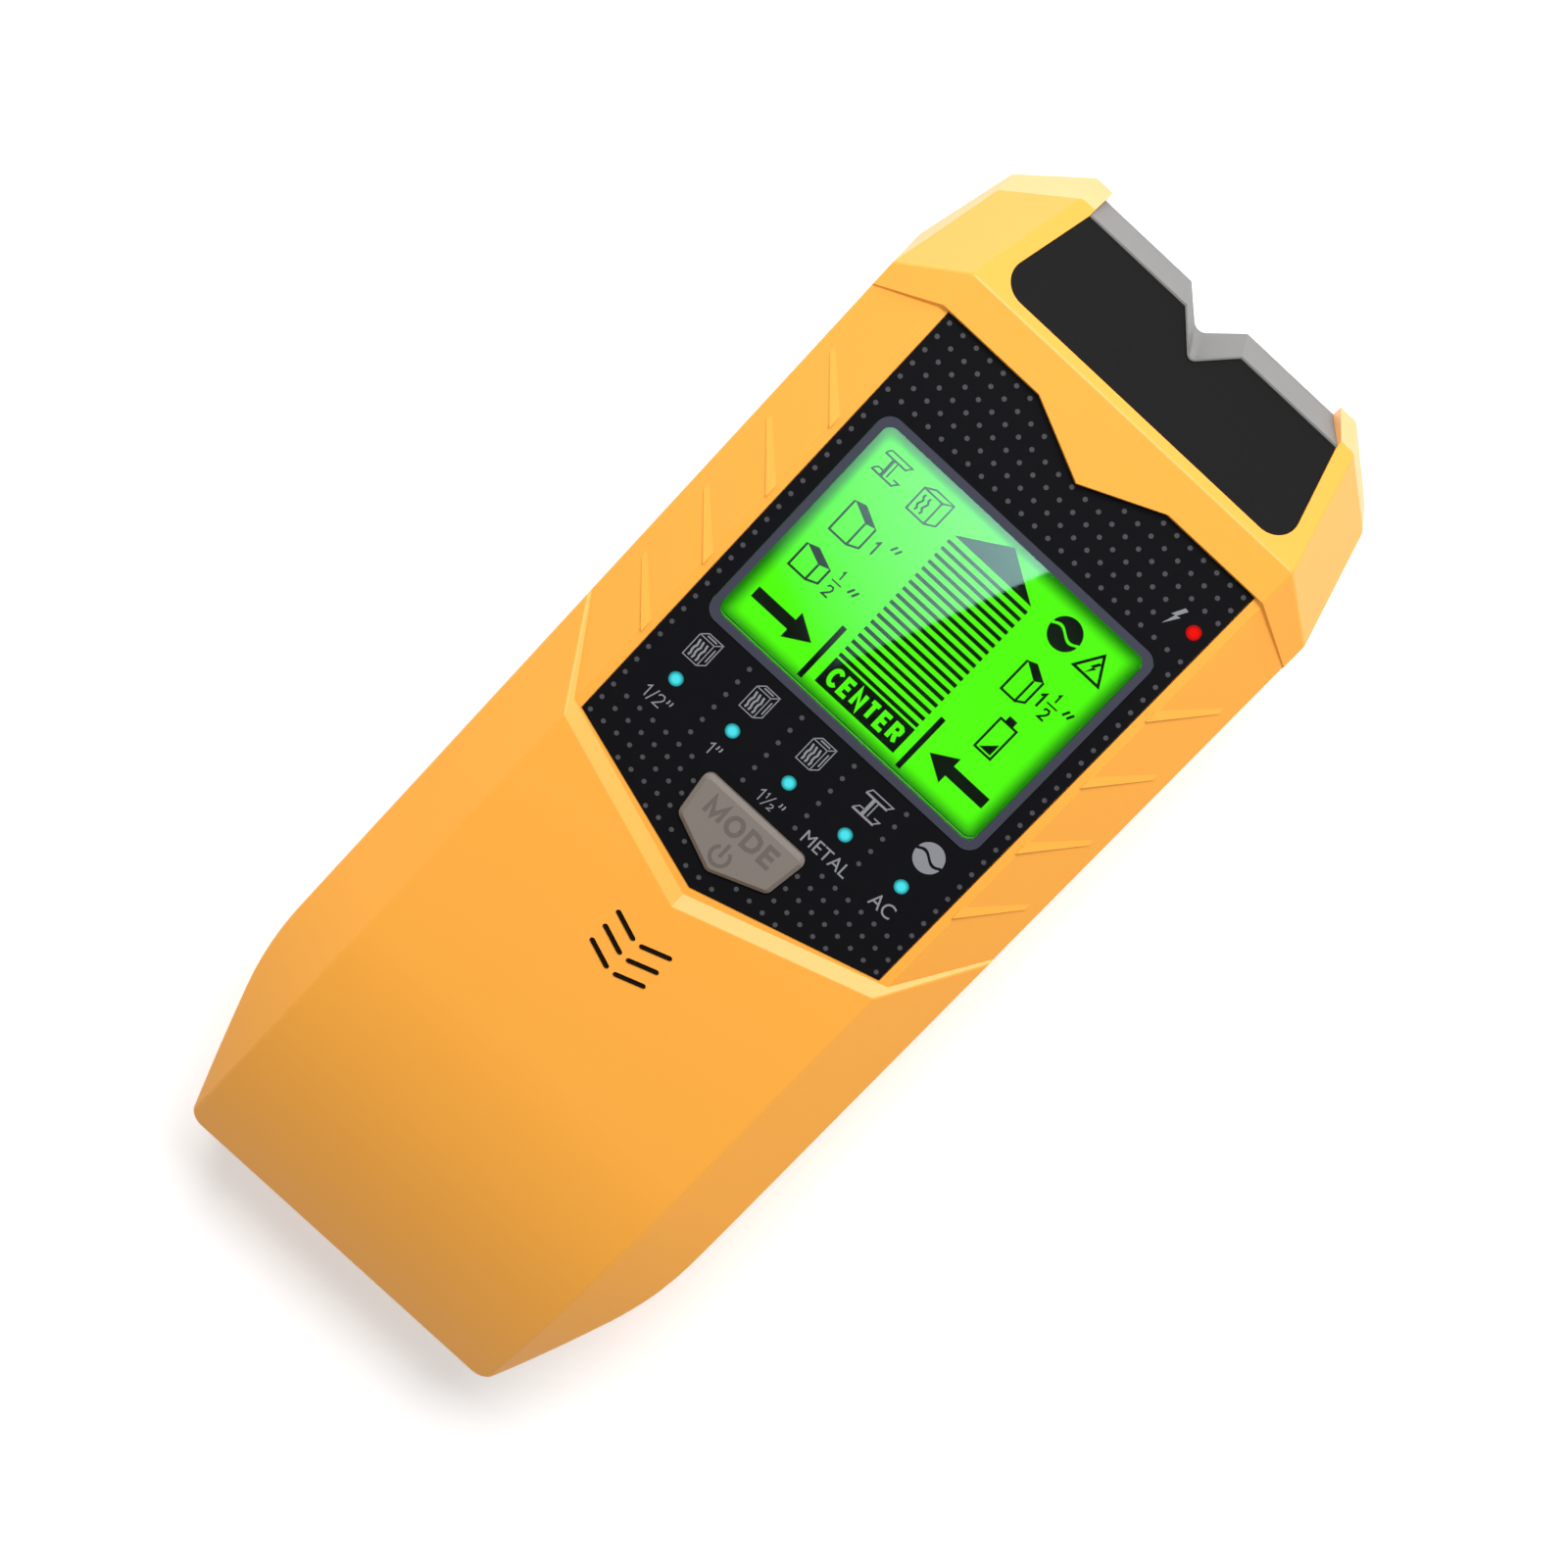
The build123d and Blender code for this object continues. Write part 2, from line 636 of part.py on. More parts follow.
with BuildPart() as front_shell:
    add(case_lump.part)
    add(grip_ribs.part)
    add(handle_hollow.part, mode=Mode.SUBTRACT)
    add(front_hollow.part, mode=Mode.SUBTRACT)
    # posts that the case screws and the board screws bite into
    for place, top in zip(CASE_SCREWS, CASE_POST_TOP):
        with BuildSketch(Plane.XY.offset(POST_Z)):
            with Locations(*both_sides([place])):
                Circle(CASE_POST_R)
        extrude(amount=top - POST_Z)
        with Locations(*[(x, y, POST_Z) for x, y in both_sides([place])]):
            Cylinder(SCREW_BITE_R, CASE_SHANK_L, mode=Mode.SUBTRACT)
    for place, top in zip(BOARD_SCREWS, BOARD_POST_TOP):
        with BuildSketch(Plane.XY.offset(MAIN_Z + BOARD_T)):
            with Locations(*both_sides([place])):
                Circle(BOARD_POST_R)
        extrude(amount=top - MAIN_Z - BOARD_T)
    with Locations(*[(x, y, MAIN_Z + BOARD_T) for x, y in both_sides(BOARD_SCREWS)]):
        Cylinder(1.0, 7, mode=Mode.SUBTRACT)
    # seat for the face plate
    with BuildSketch(Plane.XY.offset(PLATE_Z - PLATE_T)):
        with BuildLine():
            Polyline(*plate_points, close=True)
        make_face()
        offset(amount=0.12, kind=Kind.INTERSECTION)
    extrude(amount=5, mode=Mode.SUBTRACT)
    # openings for the display, the button, the lamps and the sound
    with BuildSketch(Plane.XY.offset(ROOF_Z - 1)):
        with Locations((0, DISPLAY_Y)):
            RectangleRounded(BEZEL_SIZE[0] + 0.2, BEZEL_SIZE[1] + 0.2, 2.1)
        add(BUTTON_HOLE)
        with Locations(*all_lamps):
            Circle(LAMP_R + 0.05)
    extrude(amount=5, mode=Mode.SUBTRACT)
    slot_run = (SLOT_OUTER[0] - SLOT_INNER[0], SLOT_OUTER[1] - SLOT_INNER[1])
    slot_middle = (
        (SLOT_OUTER[0] + SLOT_INNER[0]) / 2,
        (SLOT_OUTER[1] + SLOT_INNER[1]) / 2,
    )
    with BuildSketch(Plane.XY.offset(ROOF_Z - 1)):
        for row in range(3):
            for side in (-1, 1):
                with Locations((side * slot_middle[0], slot_middle[1] - row * SLOT_PITCH)):
                    SlotCenterToCenter(
                        hypot(*slot_run),
                        SLOT_W,
                        rotation=side * degrees(atan2(slot_run[1], slot_run[0])),
                    )
    extrude(amount=6, mode=Mode.SUBTRACT)
    # pocket for the head cover, and the open end that the nose block fills
    add(cover_space.part, mode=Mode.SUBTRACT)
    add(nose_opening.part, mode=Mode.SUBTRACT)
    # gap in the tail's edge that the battery door fills
    with Locations((0, -HALF_LENGTH, SEAM_Z)):
        gap_w = 2 * (DOOR_HALF + DOOR_FLANGE + DOOR_GAP)
        Box(gap_w, 12, 2 * (DOOR_TOP_Z + FIT - SEAM_Z), mode=Mode.SUBTRACT)

# ---- head cover: a textured plate let into the slope ----
with BuildPart() as head_cover:
    with BuildSketch(slope_plane.offset(-COVER_T - COVER_SINK)):
        add(COVER_FACE)
    extrude(amount=COVER_T)
    with BuildSketch():
        add(NOTCH)
        offset(amount=COVER_LIP, kind=Kind.ARC)
    extrude(amount=LOFTY, mode=Mode.SUBTRACT)

# ---- nose block: the end wall with the pencil notch ----
with BuildPart() as nose_block:
    with BuildSketch(Plane.XY.offset(SEAM_Z)):
        with BuildLine():
            Polyline(
                (-NOSE_HALF, NOSE_Y),
                (-NOSE_HALF, nose_back_y),
                (-back_knee_x, nose_back_y),
                (0, back_tip),
                (back_knee_x, nose_back_y),
                (NOSE_HALF, nose_back_y),
                (NOSE_HALF, NOSE_Y),
                close=True,
            )
        make_face()
    extrude(amount=LUMP_H)
    split(bisect_by=nose_face, keep=Keep.BOTTOM)
    for side in (-1, 1):
        split(bisect_by=nose_side(side, 0), keep=Keep.BOTTOM)
    add(notch_space.part, mode=Mode.SUBTRACT)
    # tabs that hook behind the horns of the front shell
    with BuildSketch(Plane.XY.offset(LIP_TOP_Z + 1)):
        with Locations(*both_sides([(TAB_X, nose_back_y - TAB_SIZE[1] / 2)])):
            Rectangle(TAB_SIZE[0], TAB_SIZE[1])
    extrude(amount=TAB_SIZE[2])
    split(bisect_by=slope_plane, keep=Keep.BOTTOM)
    add(cover_space.part, mode=Mode.SUBTRACT)

# ---- face plate ----
with BuildPart() as faceplate:
    with BuildSketch(Plane.XY.offset(PLATE_Z - PLATE_T)):
        with BuildLine():
            Polyline(*plate_points, close=True)
        make_face()
        with Locations((0, DISPLAY_Y)):
            RectangleRounded(
                BEZEL_SIZE[0] + 0.1, BEZEL_SIZE[1] + 0.1, 2.05, mode=Mode.SUBTRACT
            )
        add(BUTTON_HOLE, mode=Mode.SUBTRACT)
        with Locations(*all_lamps):
            Circle(LAMP_R + 0.05, mode=Mode.SUBTRACT)
    extrude(amount=PLATE_T)

# ---- display stack ----
with BuildPart() as lcd_bezel:
    with BuildSketch(Plane.XY.offset(ROOF_Z)):
        with Locations((0, DISPLAY_Y)):
            RectangleRounded(*BEZEL_SIZE, 2.0)
            RectangleRounded(*WINDOW_SIZE, 1.4, mode=Mode.SUBTRACT)
    extrude(amount=BEZEL_TOP_Z - ROOF_Z)

with BuildPart() as lcd_lens:
    with BuildSketch(Plane.XY.offset(LENS_Z[0])):
        with Locations((0, DISPLAY_Y)):
            RectangleRounded(WINDOW_SIZE[0] - FIT, WINDOW_SIZE[1] - FIT, 1.35)
    extrude(amount=LENS_Z[1] - LENS_Z[0])

with BuildPart() as lcd_cell:
    with Locations((0, DISPLAY_Y, CELL_Z)):
        Box(*CELL_SIZE, CELL_T, align=ON_BASE)

with BuildPart() as lcd_backlight:
    with Locations((0, DISPLAY_Y, HOLDER_Z + 0.2)):
        Box(*BACKLIGHT_SIZE, CELL_Z - HOLDER_Z - 0.3, align=ON_BASE)

with BuildPart() as zebra_strips:
    with BuildSketch(Plane.XY.offset(HOLDER_Z)):
        with Locations((0, DISPLAY_Y - STRIP_Y), (0, DISPLAY_Y + STRIP_Y)):
            Rectangle(*STRIP_SIZE)
    extrude(amount=CELL_Z - HOLDER_Z)

with BuildPart() as lcd_holder:
    with BuildSketch(Plane.XY.offset(HOLDER_Z)):
        with Locations((0, DISPLAY_Y)):
            Rectangle(*HOLDER_SIZE)
    extrude(amount=ROOF_Z - 0.1 - HOLDER_Z)
    with BuildSketch(Plane.XY.offset(CELL_Z - 0.05)):
        with Locations((0, DISPLAY_Y)):
            Rectangle(CELL_SIZE[0] + 0.2, CELL_SIZE[1] + 0.2)
    extrude(amount=3, mode=Mode.SUBTRACT)
    with BuildSketch(Plane.XY.offset(HOLDER_Z)):
        with Locations((0, DISPLAY_Y)):
            Rectangle(BACKLIGHT_SIZE[0] + 0.2, BACKLIGHT_SIZE[1] + 0.2)
        with Locations((0, DISPLAY_Y - STRIP_Y), (0, DISPLAY_Y + STRIP_Y)):
            Rectangle(STRIP_SIZE[0] + 0.2, STRIP_SIZE[1] + 0.2)
    extrude(amount=4, mode=Mode.SUBTRACT)

# ---- mode button and its switch ----
with BuildPart() as mode_button:
    with BuildSketch(Plane.XY.offset(SKIRT_Z[0])):
        add(BUTTON_SKIRT)
    extrude(amount=SKIRT_Z[1] - SKIRT_Z[0])
    with BuildSketch(Plane.XY.offset(SKIRT_Z[1])):
        add(BUTTON)
    extrude(amount=BUTTON_Z - SKIRT_Z[1])
    chamfer(mode_button.faces().sort_by(Axis.Z)[-1].edges(), length=BUTTON_CHAMFER)

with BuildPart() as switch_plunger:
    with Locations((0, SWITCH_Y, SKIRT_Z[0])):
        Cylinder(PLUNGER_R, PLUNGER_L, align=UNDER)

with BuildPart() as switch_body:
    with Locations((0, SWITCH_Y, HOLDER_Z)):
        Box(*SWITCH_SIZE, align=ON_BASE)
    with Locations((0, SWITCH_Y, HOLDER_Z + SWITCH_SIZE[2])):
        Cylinder(PLUNGER_R + FIT, 2.0, mode=Mode.SUBTRACT)

# ---- lamps: light pipes above small surface-mounted lamps ----
lamps = {}
for name, place in zip(lamp_names + ["live_wire_lamp"], all_lamps):
    with BuildPart() as lamp:
        with BuildSketch(Plane.XY.offset(PIPE_Z)):
            with Locations(place):
                Circle(LAMP_R)
        extrude(amount=PLATE_Z - 0.05 - PIPE_Z)
        with BuildSketch(Plane.XY.offset(SKIRT_Z[0])):
            with Locations(place):
                Circle(PIPE_FLANGE_R)
        extrude(amount=SKIRT_Z[1] - SKIRT_Z[0])
    lamps[name] = lamp

with BuildPart() as lamp_chips:
    with BuildSketch(Plane.XY.offset(HOLDER_Z)):
        with Locations(*all_lamps):
            Rectangle(LAMP_CHIP[0], LAMP_CHIP[1])
    extrude(amount=LAMP_CHIP[2])

# ---- main board and what it carries ----
with BuildPart() as main_board:
    with BuildSketch(Plane.XY.offset(MAIN_Z)):
        with Locations((0, sum(MAIN_Y) / 2)):
            RectangleRounded(2 * MAIN_HALF, MAIN_Y[1] - MAIN_Y[0], BOARD_CORNER_R)
        with Locations(*both_sides(BOARD_SCREWS)):
            Circle(SCREW_HOLE_R, mode=Mode.SUBTRACT)
    extrude(amount=BOARD_T)

with BuildPart() as controller_chip:
    with Locations((0, DISPLAY_Y, MAIN_Z)):
        Box(*CHIP_SIZE, align=UNDER)

with BuildPart() as board_components:
    with BuildSketch(Plane.XY.offset(MAIN_Z)):
        for row in (18.0, 50.0):
            with Locations((0, row)):
                with GridLocations(4.5, 3.2, 7, 2):
                    Rectangle(2.0, 1.25)
        for column in (-16.0, 16.0):
            with Locations((column, DISPLAY_Y)):
                with GridLocations(3.6, 5.0, 2, 3):
                    Rectangle(1.6, 3.0)
    extrude(amount=-PART_T)

with BuildPart() as buzzer:
    with Locations((0, BUZZER_Y, HOLDER_Z)):
        Cylinder(BUZZER_R, BUZZER_H, align=ON_BASE)
        Cylinder(BUZZER_HOLE_R, 2.5 * BUZZER_H, mode=Mode.SUBTRACT)

with BuildPart() as buzzer_mesh:
    with Locations((0, BUZZER_Y, MESH_Z)):
        Box(*MESH_SIZE, align=ON_BASE)

# ---- sensing board near the wall side ----
with BuildPart() as sensor_board:
    with BuildSketch(Plane.XY.offset(SENSOR_Z)):
        with Locations((0, sum(SENSOR_Y) / 2)):
            RectangleRounded(2 * SENSOR_HALF, SENSOR_Y[1] - SENSOR_Y[0], BOARD_CORNER_R)
        with Locations(*both_sides(SENSOR_SCREWS)):
            Circle(SCREW_HOLE_R, mode=Mode.SUBTRACT)
    extrude(amount=BOARD_T)

with BuildPart() as sensor_plates:
    with BuildSketch(Plane.XY.offset(SENSOR_Z)):
        with Locations(*[(0, plate_y) for plate_y in SENSE_Y]):
            Rectangle(*PLATE_SIZE)
    extrude(amount=-COPPER_T)

with BuildPart() as metal_coil:
    with BuildSketch(Plane.XY.offset(SENSOR_Z + BOARD_T)):
        with Locations((0, COIL_Y)):
            Circle(COIL_R[1])
            Circle(COIL_R[0], mode=Mode.SUBTRACT)
    extrude(amount=COIL_H)

with BuildPart() as coil_former:
    with BuildSketch(Plane.XY.offset(SENSOR_Z + BOARD_T)):
        with Locations((0, COIL_Y)):
            Circle(FORMER_R[1])
            Circle(FORMER_R[0], mode=Mode.SUBTRACT)
    extrude(amount=FORMER_H)

with BuildPart() as pin_header:
    with BuildSketch(Plane.XY.offset(SENSOR_Z + BOARD_T)):
        with Locations((0, HEADER_Y)):
            Rectangle(HEADER_PITCH * HEADER_PINS, HEADER_SIZE[0])
            with GridLocations(HEADER_PITCH, 1, HEADER_PINS, 1):
                Circle(PIN_R + 0.03, mode=Mode.SUBTRACT)
    extrude(amount=HEADER_SIZE[1])

with BuildPart() as header_pins:
    with BuildSketch(Plane.XY.offset(SENSOR_Z + BOARD_T)):
        with Locations((0, HEADER_Y)):
            with GridLocations(HEADER_PITCH, 1, HEADER_PINS, 1):
                Circle(PIN_R)
    extrude(amount=MAIN_Z - SENSOR_Z - BOARD_T)

# ---- back shell with the battery bay ----
with BuildPart() as back_shell:
    with BuildSketch(Plane.XY.offset(PAD_T)):
        add(BACK_EDGE)
        with Locations((0, HALF_LENGTH)):
            Rectangle(2 * NOSE_HALF, 2 * (HALF_LENGTH - nose_foot_y), mode=Mode.SUBTRACT)
    extrude(amount=SEAM_Z - SEAM_GAP - PAD_T)
    with BuildSketch(Plane.XY.offset(SEAM_Z - SEAM_GAP)):
        add(BACK_INSIDE)
    extrude(amount=PLATE_TOP_Z - SEAM_Z + SEAM_GAP)
    with BuildSketch(Plane.XY.offset(PLATE_TOP_Z)):
        add(BACK_INSIDE)
        add(LIP_INSIDE, mode=Mode.SUBTRACT)
    extrude(amount=LIP_TOP_Z - PLATE_TOP_Z)
    # room for the nose block, and the pencil notch right through
    with Locations((0, HEAD_REACH, SEAM_Z - SEAM_GAP)):
        room_align = (Align.CENTER, Align.MIN, Align.MIN)
        Box(NOSE_ROOM_W, 20, 10, align=room_align, mode=Mode.SUBTRACT)
    add(notch_space.part, mode=Mode.SUBTRACT)
    # tubes for the case screws, and standoffs for the sensing board
    with BuildSketch(Plane.XY.offset(PLATE_TOP_Z)):
        with Locations(*both_sides(CASE_SCREWS)):
            Circle(CASE_TUBE_R)
    extrude(amount=POST_Z - FIT - PLATE_TOP_Z)
    with BuildSketch(Plane.XY.offset(PLATE_TOP_Z)):
        with Locations(*both_sides(SENSOR_SCREWS)):
            Circle(STANDOFF_R)
    extrude(amount=SENSOR_Z - PLATE_TOP_Z)
    # battery bay: four walls, a ceiling, and feet that reach over the door's flanges
    bay_middle = (BAY_LOW_Y + BAY_HIGH_Y) / 2
    bay_length = BAY_HIGH_Y - BAY_LOW_Y
    with BuildSketch(Plane.XY.offset(DOOR_TOP_Z)):
        with Locations((0, bay_middle)):
            Rectangle(2 * BAY_FOOT_HALF, bay_length + 2 * BAY_WALL)
    extrude(amount=BAY_FOOT_T)
    with BuildSketch(Plane.XY.offset(DOOR_TOP_Z)):
        with Locations((0, bay_middle)):
            Rectangle(2 * (BAY_HALF + BAY_WALL), bay_length + 2 * BAY_WALL)
    extrude(amount=BAY_END_TOP_Z - DOOR_TOP_Z)
    with BuildSketch(Plane.XY.offset(BAY_END_TOP_Z)):
        with Locations((0, bay_middle + BAY_WALL / 2)):
            Rectangle(2 * (BAY_HALF + BAY_WALL), bay_length + BAY_WALL)
    extrude(amount=BAY_CEILING_Z + BAY_ROOF_T - BAY_END_TOP_Z)
    with BuildSketch():
        with Locations((0, bay_middle)):
            Rectangle(2 * BAY_HALF, bay_length)
    extrude(amount=BAY_CEILING_Z, mode=Mode.SUBTRACT)
    with Locations((0, BAY_HIGH_Y, LEAD_WINDOW_Z)):
        Box(LEAD_WINDOW[0], 3 * BAY_WALL, LEAD_WINDOW[1], mode=Mode.SUBTRACT)
    # the door's way in: its plate, its flanges and its tongue
    plate_w = 2 * (DOOR_HALF + DOOR_GAP)
    flange_w = 2 * (DOOR_HALF + DOOR_FLANGE + DOOR_GAP)
    tongue_w = 2 * (TONGUE_HALF + DOOR_GAP)
    flange_h = DOOR_TOP_Z + DOOR_GAP - DOOR_STEP_Z
    door_way = DOOR_FRONT_Y + DOOR_GAP
    with Locations((0, door_way, PAD_T)):
        Box(plate_w, 90, DOOR_STEP_Z - PAD_T, align=LOW_BACK, mode=Mode.SUBTRACT)
    with Locations((0, door_way, DOOR_STEP_Z - SEAM_GAP)):
        Box(flange_w, 90, flange_h, align=LOW_BACK, mode=Mode.SUBTRACT)
    with Locations((0, door_way + TONGUE_L, DOOR_STEP_Z - SEAM_GAP)):
        Box(tongue_w, TONGUE_L + 2, flange_h, align=LOW_BACK, mode=Mode.SUBTRACT)
    # screw holes and the seats of the screw heads
    with Locations(*[(x, y, 0) for x, y in both_sides(CASE_SCREWS)]):
        Cylinder(1.3, 30, mode=Mode.SUBTRACT)
        Cylinder(2.35, 2 * 3.45, mode=Mode.SUBTRACT)
    with Locations(*[(x, y, SENSOR_Z) for x, y in both_sides(SENSOR_SCREWS)]):
        Cylinder(0.95, 4.4, mode=Mode.SUBTRACT)

with BuildPart() as battery_door:
    door_length = HALF_LENGTH + DOOR_FRONT_Y - 0.1
    with Locations((0, DOOR_FRONT_Y, PAD_T)):
        Box(2 * DOOR_HALF, door_length, DOOR_STEP_Z - PAD_T, align=LOW_BACK)
    flange_t = DOOR_TOP_Z - DOOR_STEP_Z
    with Locations((0, DOOR_FRONT_Y, DOOR_STEP_Z)):
        Box(2 * (DOOR_HALF + DOOR_FLANGE), door_length, flange_t, align=LOW_BACK)
    with Locations((0, DOOR_FRONT_Y + TONGUE_L, DOOR_STEP_Z)):
        Box(2 * TONGUE_HALF, TONGUE_L + 1, flange_t, align=LOW_BACK)
    # thumb grip: a row of grooves across the tail end
    with BuildSketch(Plane.XY.offset(PAD_T)):
        with Locations((0, GRIP_Y)):
            with GridLocations(1, GRIP_PITCH, 1, GRIP_ROWS):
                Rectangle(GRIP_SIZE[0], GRIP_SIZE[1])
    extrude(amount=GRIP_SIZE[2], mode=Mode.SUBTRACT)

# ---- battery, its snap connector and leads ----
battery_mid_y = BATTERY_LOW_Y + BATTERY_SIZE[1] / 2
battery_end_y = BATTERY_LOW_Y + BATTERY_SIZE[1]
battery_mid_z = BATTERY_LOW_Z + BATTERY_SIZE[2] / 2
inside_w = BATTERY_SIZE[0] - 2 * CAN_T
inside_h = BATTERY_SIZE[2] - 2 * CAN_T
with BuildPart() as battery_can:
    with BuildSketch(Plane.XZ.offset(-BATTERY_LOW_Y)):
        with Locations((0, battery_mid_z)):
            RectangleRounded(BATTERY_SIZE[0], BATTERY_SIZE[2], CAN_R)
    extrude(amount=-BATTERY_SIZE[1])
    with BuildSketch(Plane.XZ.offset(-BATTERY_LOW_Y - CAN_T)):
        with Locations((0, battery_mid_z)):
            RectangleRounded(inside_w, inside_h, CAN_R - CAN_T)
    extrude(amount=-BATTERY_SIZE[1], mode=Mode.SUBTRACT)

with BuildPart() as battery_cells:
    with BuildSketch(Plane.XZ.offset(-BATTERY_LOW_Y - CAN_T)):
        with Locations((0, battery_mid_z)):
            with GridLocations(*CELL_PITCH, 3, 2):
                Circle(CELL_R)
    extrude(amount=-CELL_L)

with BuildPart() as battery_top:
    with BuildSketch(Plane.XZ.offset(-battery_end_y)):
        with Locations((0, battery_mid_z)):
            RectangleRounded(inside_w - FIT, inside_h - FIT, CAN_R - CAN_T - FIT / 2)
    extrude(amount=BATTERY_TOP_T)

with BuildPart() as battery_terminals:
    with BuildSketch(Plane.XZ.offset(-battery_end_y)):
        with Locations((STUD_X, battery_mid_z)):
            Circle(STUD_R)
        with Locations((-STUD_X, battery_mid_z)):
            RegularPolygon(SOCKET_R, 6)
    extrude(amount=-STUD_L)

with BuildPart() as snap_connector:
    with Locations((0, battery_end_y + STUD_L, battery_mid_z)):
        Box(*SNAP_SIZE, align=(Align.CENTER, Align.MIN, Align.CENTER))

lead_start_y = battery_end_y + STUD_L + SNAP_SIZE[1]
leads = {}
for name, side in (("battery_lead_red", 1), ("battery_lead_black", -1)):
    route = [
        (side * LEAD_X, lead_start_y, battery_mid_z),
        (side * LEAD_X, LEAD_Y - 4.0, battery_mid_z),
        (side * LEAD_X, LEAD_Y, battery_mid_z + LEAD_LIFT),
        (side * LEAD_X, LEAD_Y, MAIN_Z),
    ]
    with BuildPart() as lead:
        with BuildLine() as lead_path:
            FilletPolyline(*route, radius=LEAD_BEND_R)
        with BuildSketch(Plane(origin=route[0], z_dir=(0, 1, 0))):
            Circle(LEAD_R)
        sweep(path=lead_path.line)
    leads[name] = lead

with BuildPart() as battery_foam:
    with Locations((0, battery_mid_y, BAY_CEILING_Z)):
        Box(*FOAM_SIZE, align=UNDER)

# ---- screws and pads ----
with BuildPart() as case_screws:
    with BuildSketch(Plane.XY.offset(CASE_SCREW_Z)):
        with Locations(*both_sides(CASE_SCREWS)):
            Circle(CASE_SCREW_R[0])
    extrude(amount=CASE_HEAD_T)
    with BuildSketch(Plane.XY.offset(CASE_SCREW_Z)):
        with Locations(*both_sides(CASE_SCREWS)):
            Circle(CASE_SCREW_R[1])
    extrude(amount=CASE_SHANK_L)
    with BuildSketch(Plane.XY.offset(CASE_SCREW_Z)):
        with Locations(*both_sides(CASE_SCREWS)):
            Rectangle(CROSS_SIZE[0], CROSS_SIZE[1])
            Rectangle(CROSS_SIZE[1], CROSS_SIZE[0])
    extrude(amount=CROSS_SIZE[2], mode=Mode.SUBTRACT)

with BuildPart() as board_screws:
    with BuildSketch(Plane.XY.offset(MAIN_Z)):
        with Locations(*both_sides(BOARD_SCREWS)):
            Circle(SMALL_HEAD_R)
    extrude(amount=-SMALL_HEAD_T)
    with BuildSketch(Plane.XY.offset(MAIN_Z - 0.5)):
        with Locations(*both_sides(BOARD_SCREWS)):
            Circle(SMALL_SHANK_R[0])
    extrude(amount=5.2)

with BuildPart() as sensor_screws:
    with BuildSketch(Plane.XY.offset(SENSOR_Z + BOARD_T)):
        with Locations(*both_sides(SENSOR_SCREWS)):
            Circle(SMALL_HEAD_R)
    extrude(amount=SMALL_HEAD_T)
    with BuildSketch(Plane.XY.offset(SENSOR_Z - 1.8)):
        with Locations(*both_sides(SENSOR_SCREWS)):
            Circle(SMALL_SHANK_R[1])
    extrude(amount=1.8 + BOARD_T + 0.5)

with BuildPart() as glide_pads:
    with BuildSketch():
        with Locations(*both_sides(PAD_PLACES)):
            SlotOverall(*PAD_SIZE, rotation=90)
    extrude(amount=PAD_T)

pieces = {
    "front_shell": front_shell,
    "head_cover": head_cover,
    "nose_block": nose_block,
    "faceplate": faceplate,
    "lcd_bezel": lcd_bezel,
    "lcd_lens": lcd_lens,
    "lcd_cell": lcd_cell,
    "lcd_backlight": lcd_backlight,
    "lcd_holder": lcd_holder,
    "zebra_strips": zebra_strips,
    "mode_button": mode_button,
    "switch_plunger": switch_plunger,
    "switch_body": switch_body,
    **lamps,
    "lamp_chips": lamp_chips,
    "main_board": main_board,
    "controller_chip": controller_chip,
    "board_components": board_components,
    "buzzer": buzzer,
    "buzzer_mesh": buzzer_mesh,
    "sensor_board": sensor_board,
    "sensor_plates": sensor_plates,
    "metal_coil": metal_coil,
    "coil_former": coil_former,
    "pin_header": pin_header,
    "header_pins": header_pins,
    "back_shell": back_shell,
    "battery_door": battery_door,
    "battery_can": battery_can,
    "battery_cells": battery_cells,
    "battery_top": battery_top,
    "battery_terminals": battery_terminals,
    "snap_connector": snap_connector,
    **leads,
    "battery_foam": battery_foam,
    "case_screws": case_screws,
    "board_screws": board_screws,
    "sensor_screws": sensor_screws,
    "glide_pads": glide_pads,
}
for name, piece in pieces.items():
    piece.part.label = name
    export_step(piece.part, f"parts/{name}.step")
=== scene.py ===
from math import atan2, cos, pi, radians, sin

import bmesh
import bpy
from mathutils import Matrix, Vector


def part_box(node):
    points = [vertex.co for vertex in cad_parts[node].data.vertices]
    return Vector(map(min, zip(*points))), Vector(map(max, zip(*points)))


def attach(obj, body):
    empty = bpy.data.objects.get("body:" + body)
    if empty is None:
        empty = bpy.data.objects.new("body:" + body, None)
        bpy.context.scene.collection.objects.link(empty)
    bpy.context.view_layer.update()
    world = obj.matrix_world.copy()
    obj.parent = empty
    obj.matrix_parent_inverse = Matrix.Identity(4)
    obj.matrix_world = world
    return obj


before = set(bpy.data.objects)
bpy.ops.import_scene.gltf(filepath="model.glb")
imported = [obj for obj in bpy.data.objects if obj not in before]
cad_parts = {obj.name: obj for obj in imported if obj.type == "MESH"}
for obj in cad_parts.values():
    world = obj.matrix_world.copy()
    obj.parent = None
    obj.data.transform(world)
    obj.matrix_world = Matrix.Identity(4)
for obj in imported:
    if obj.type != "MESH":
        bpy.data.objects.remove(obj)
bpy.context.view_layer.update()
MM = 0.001
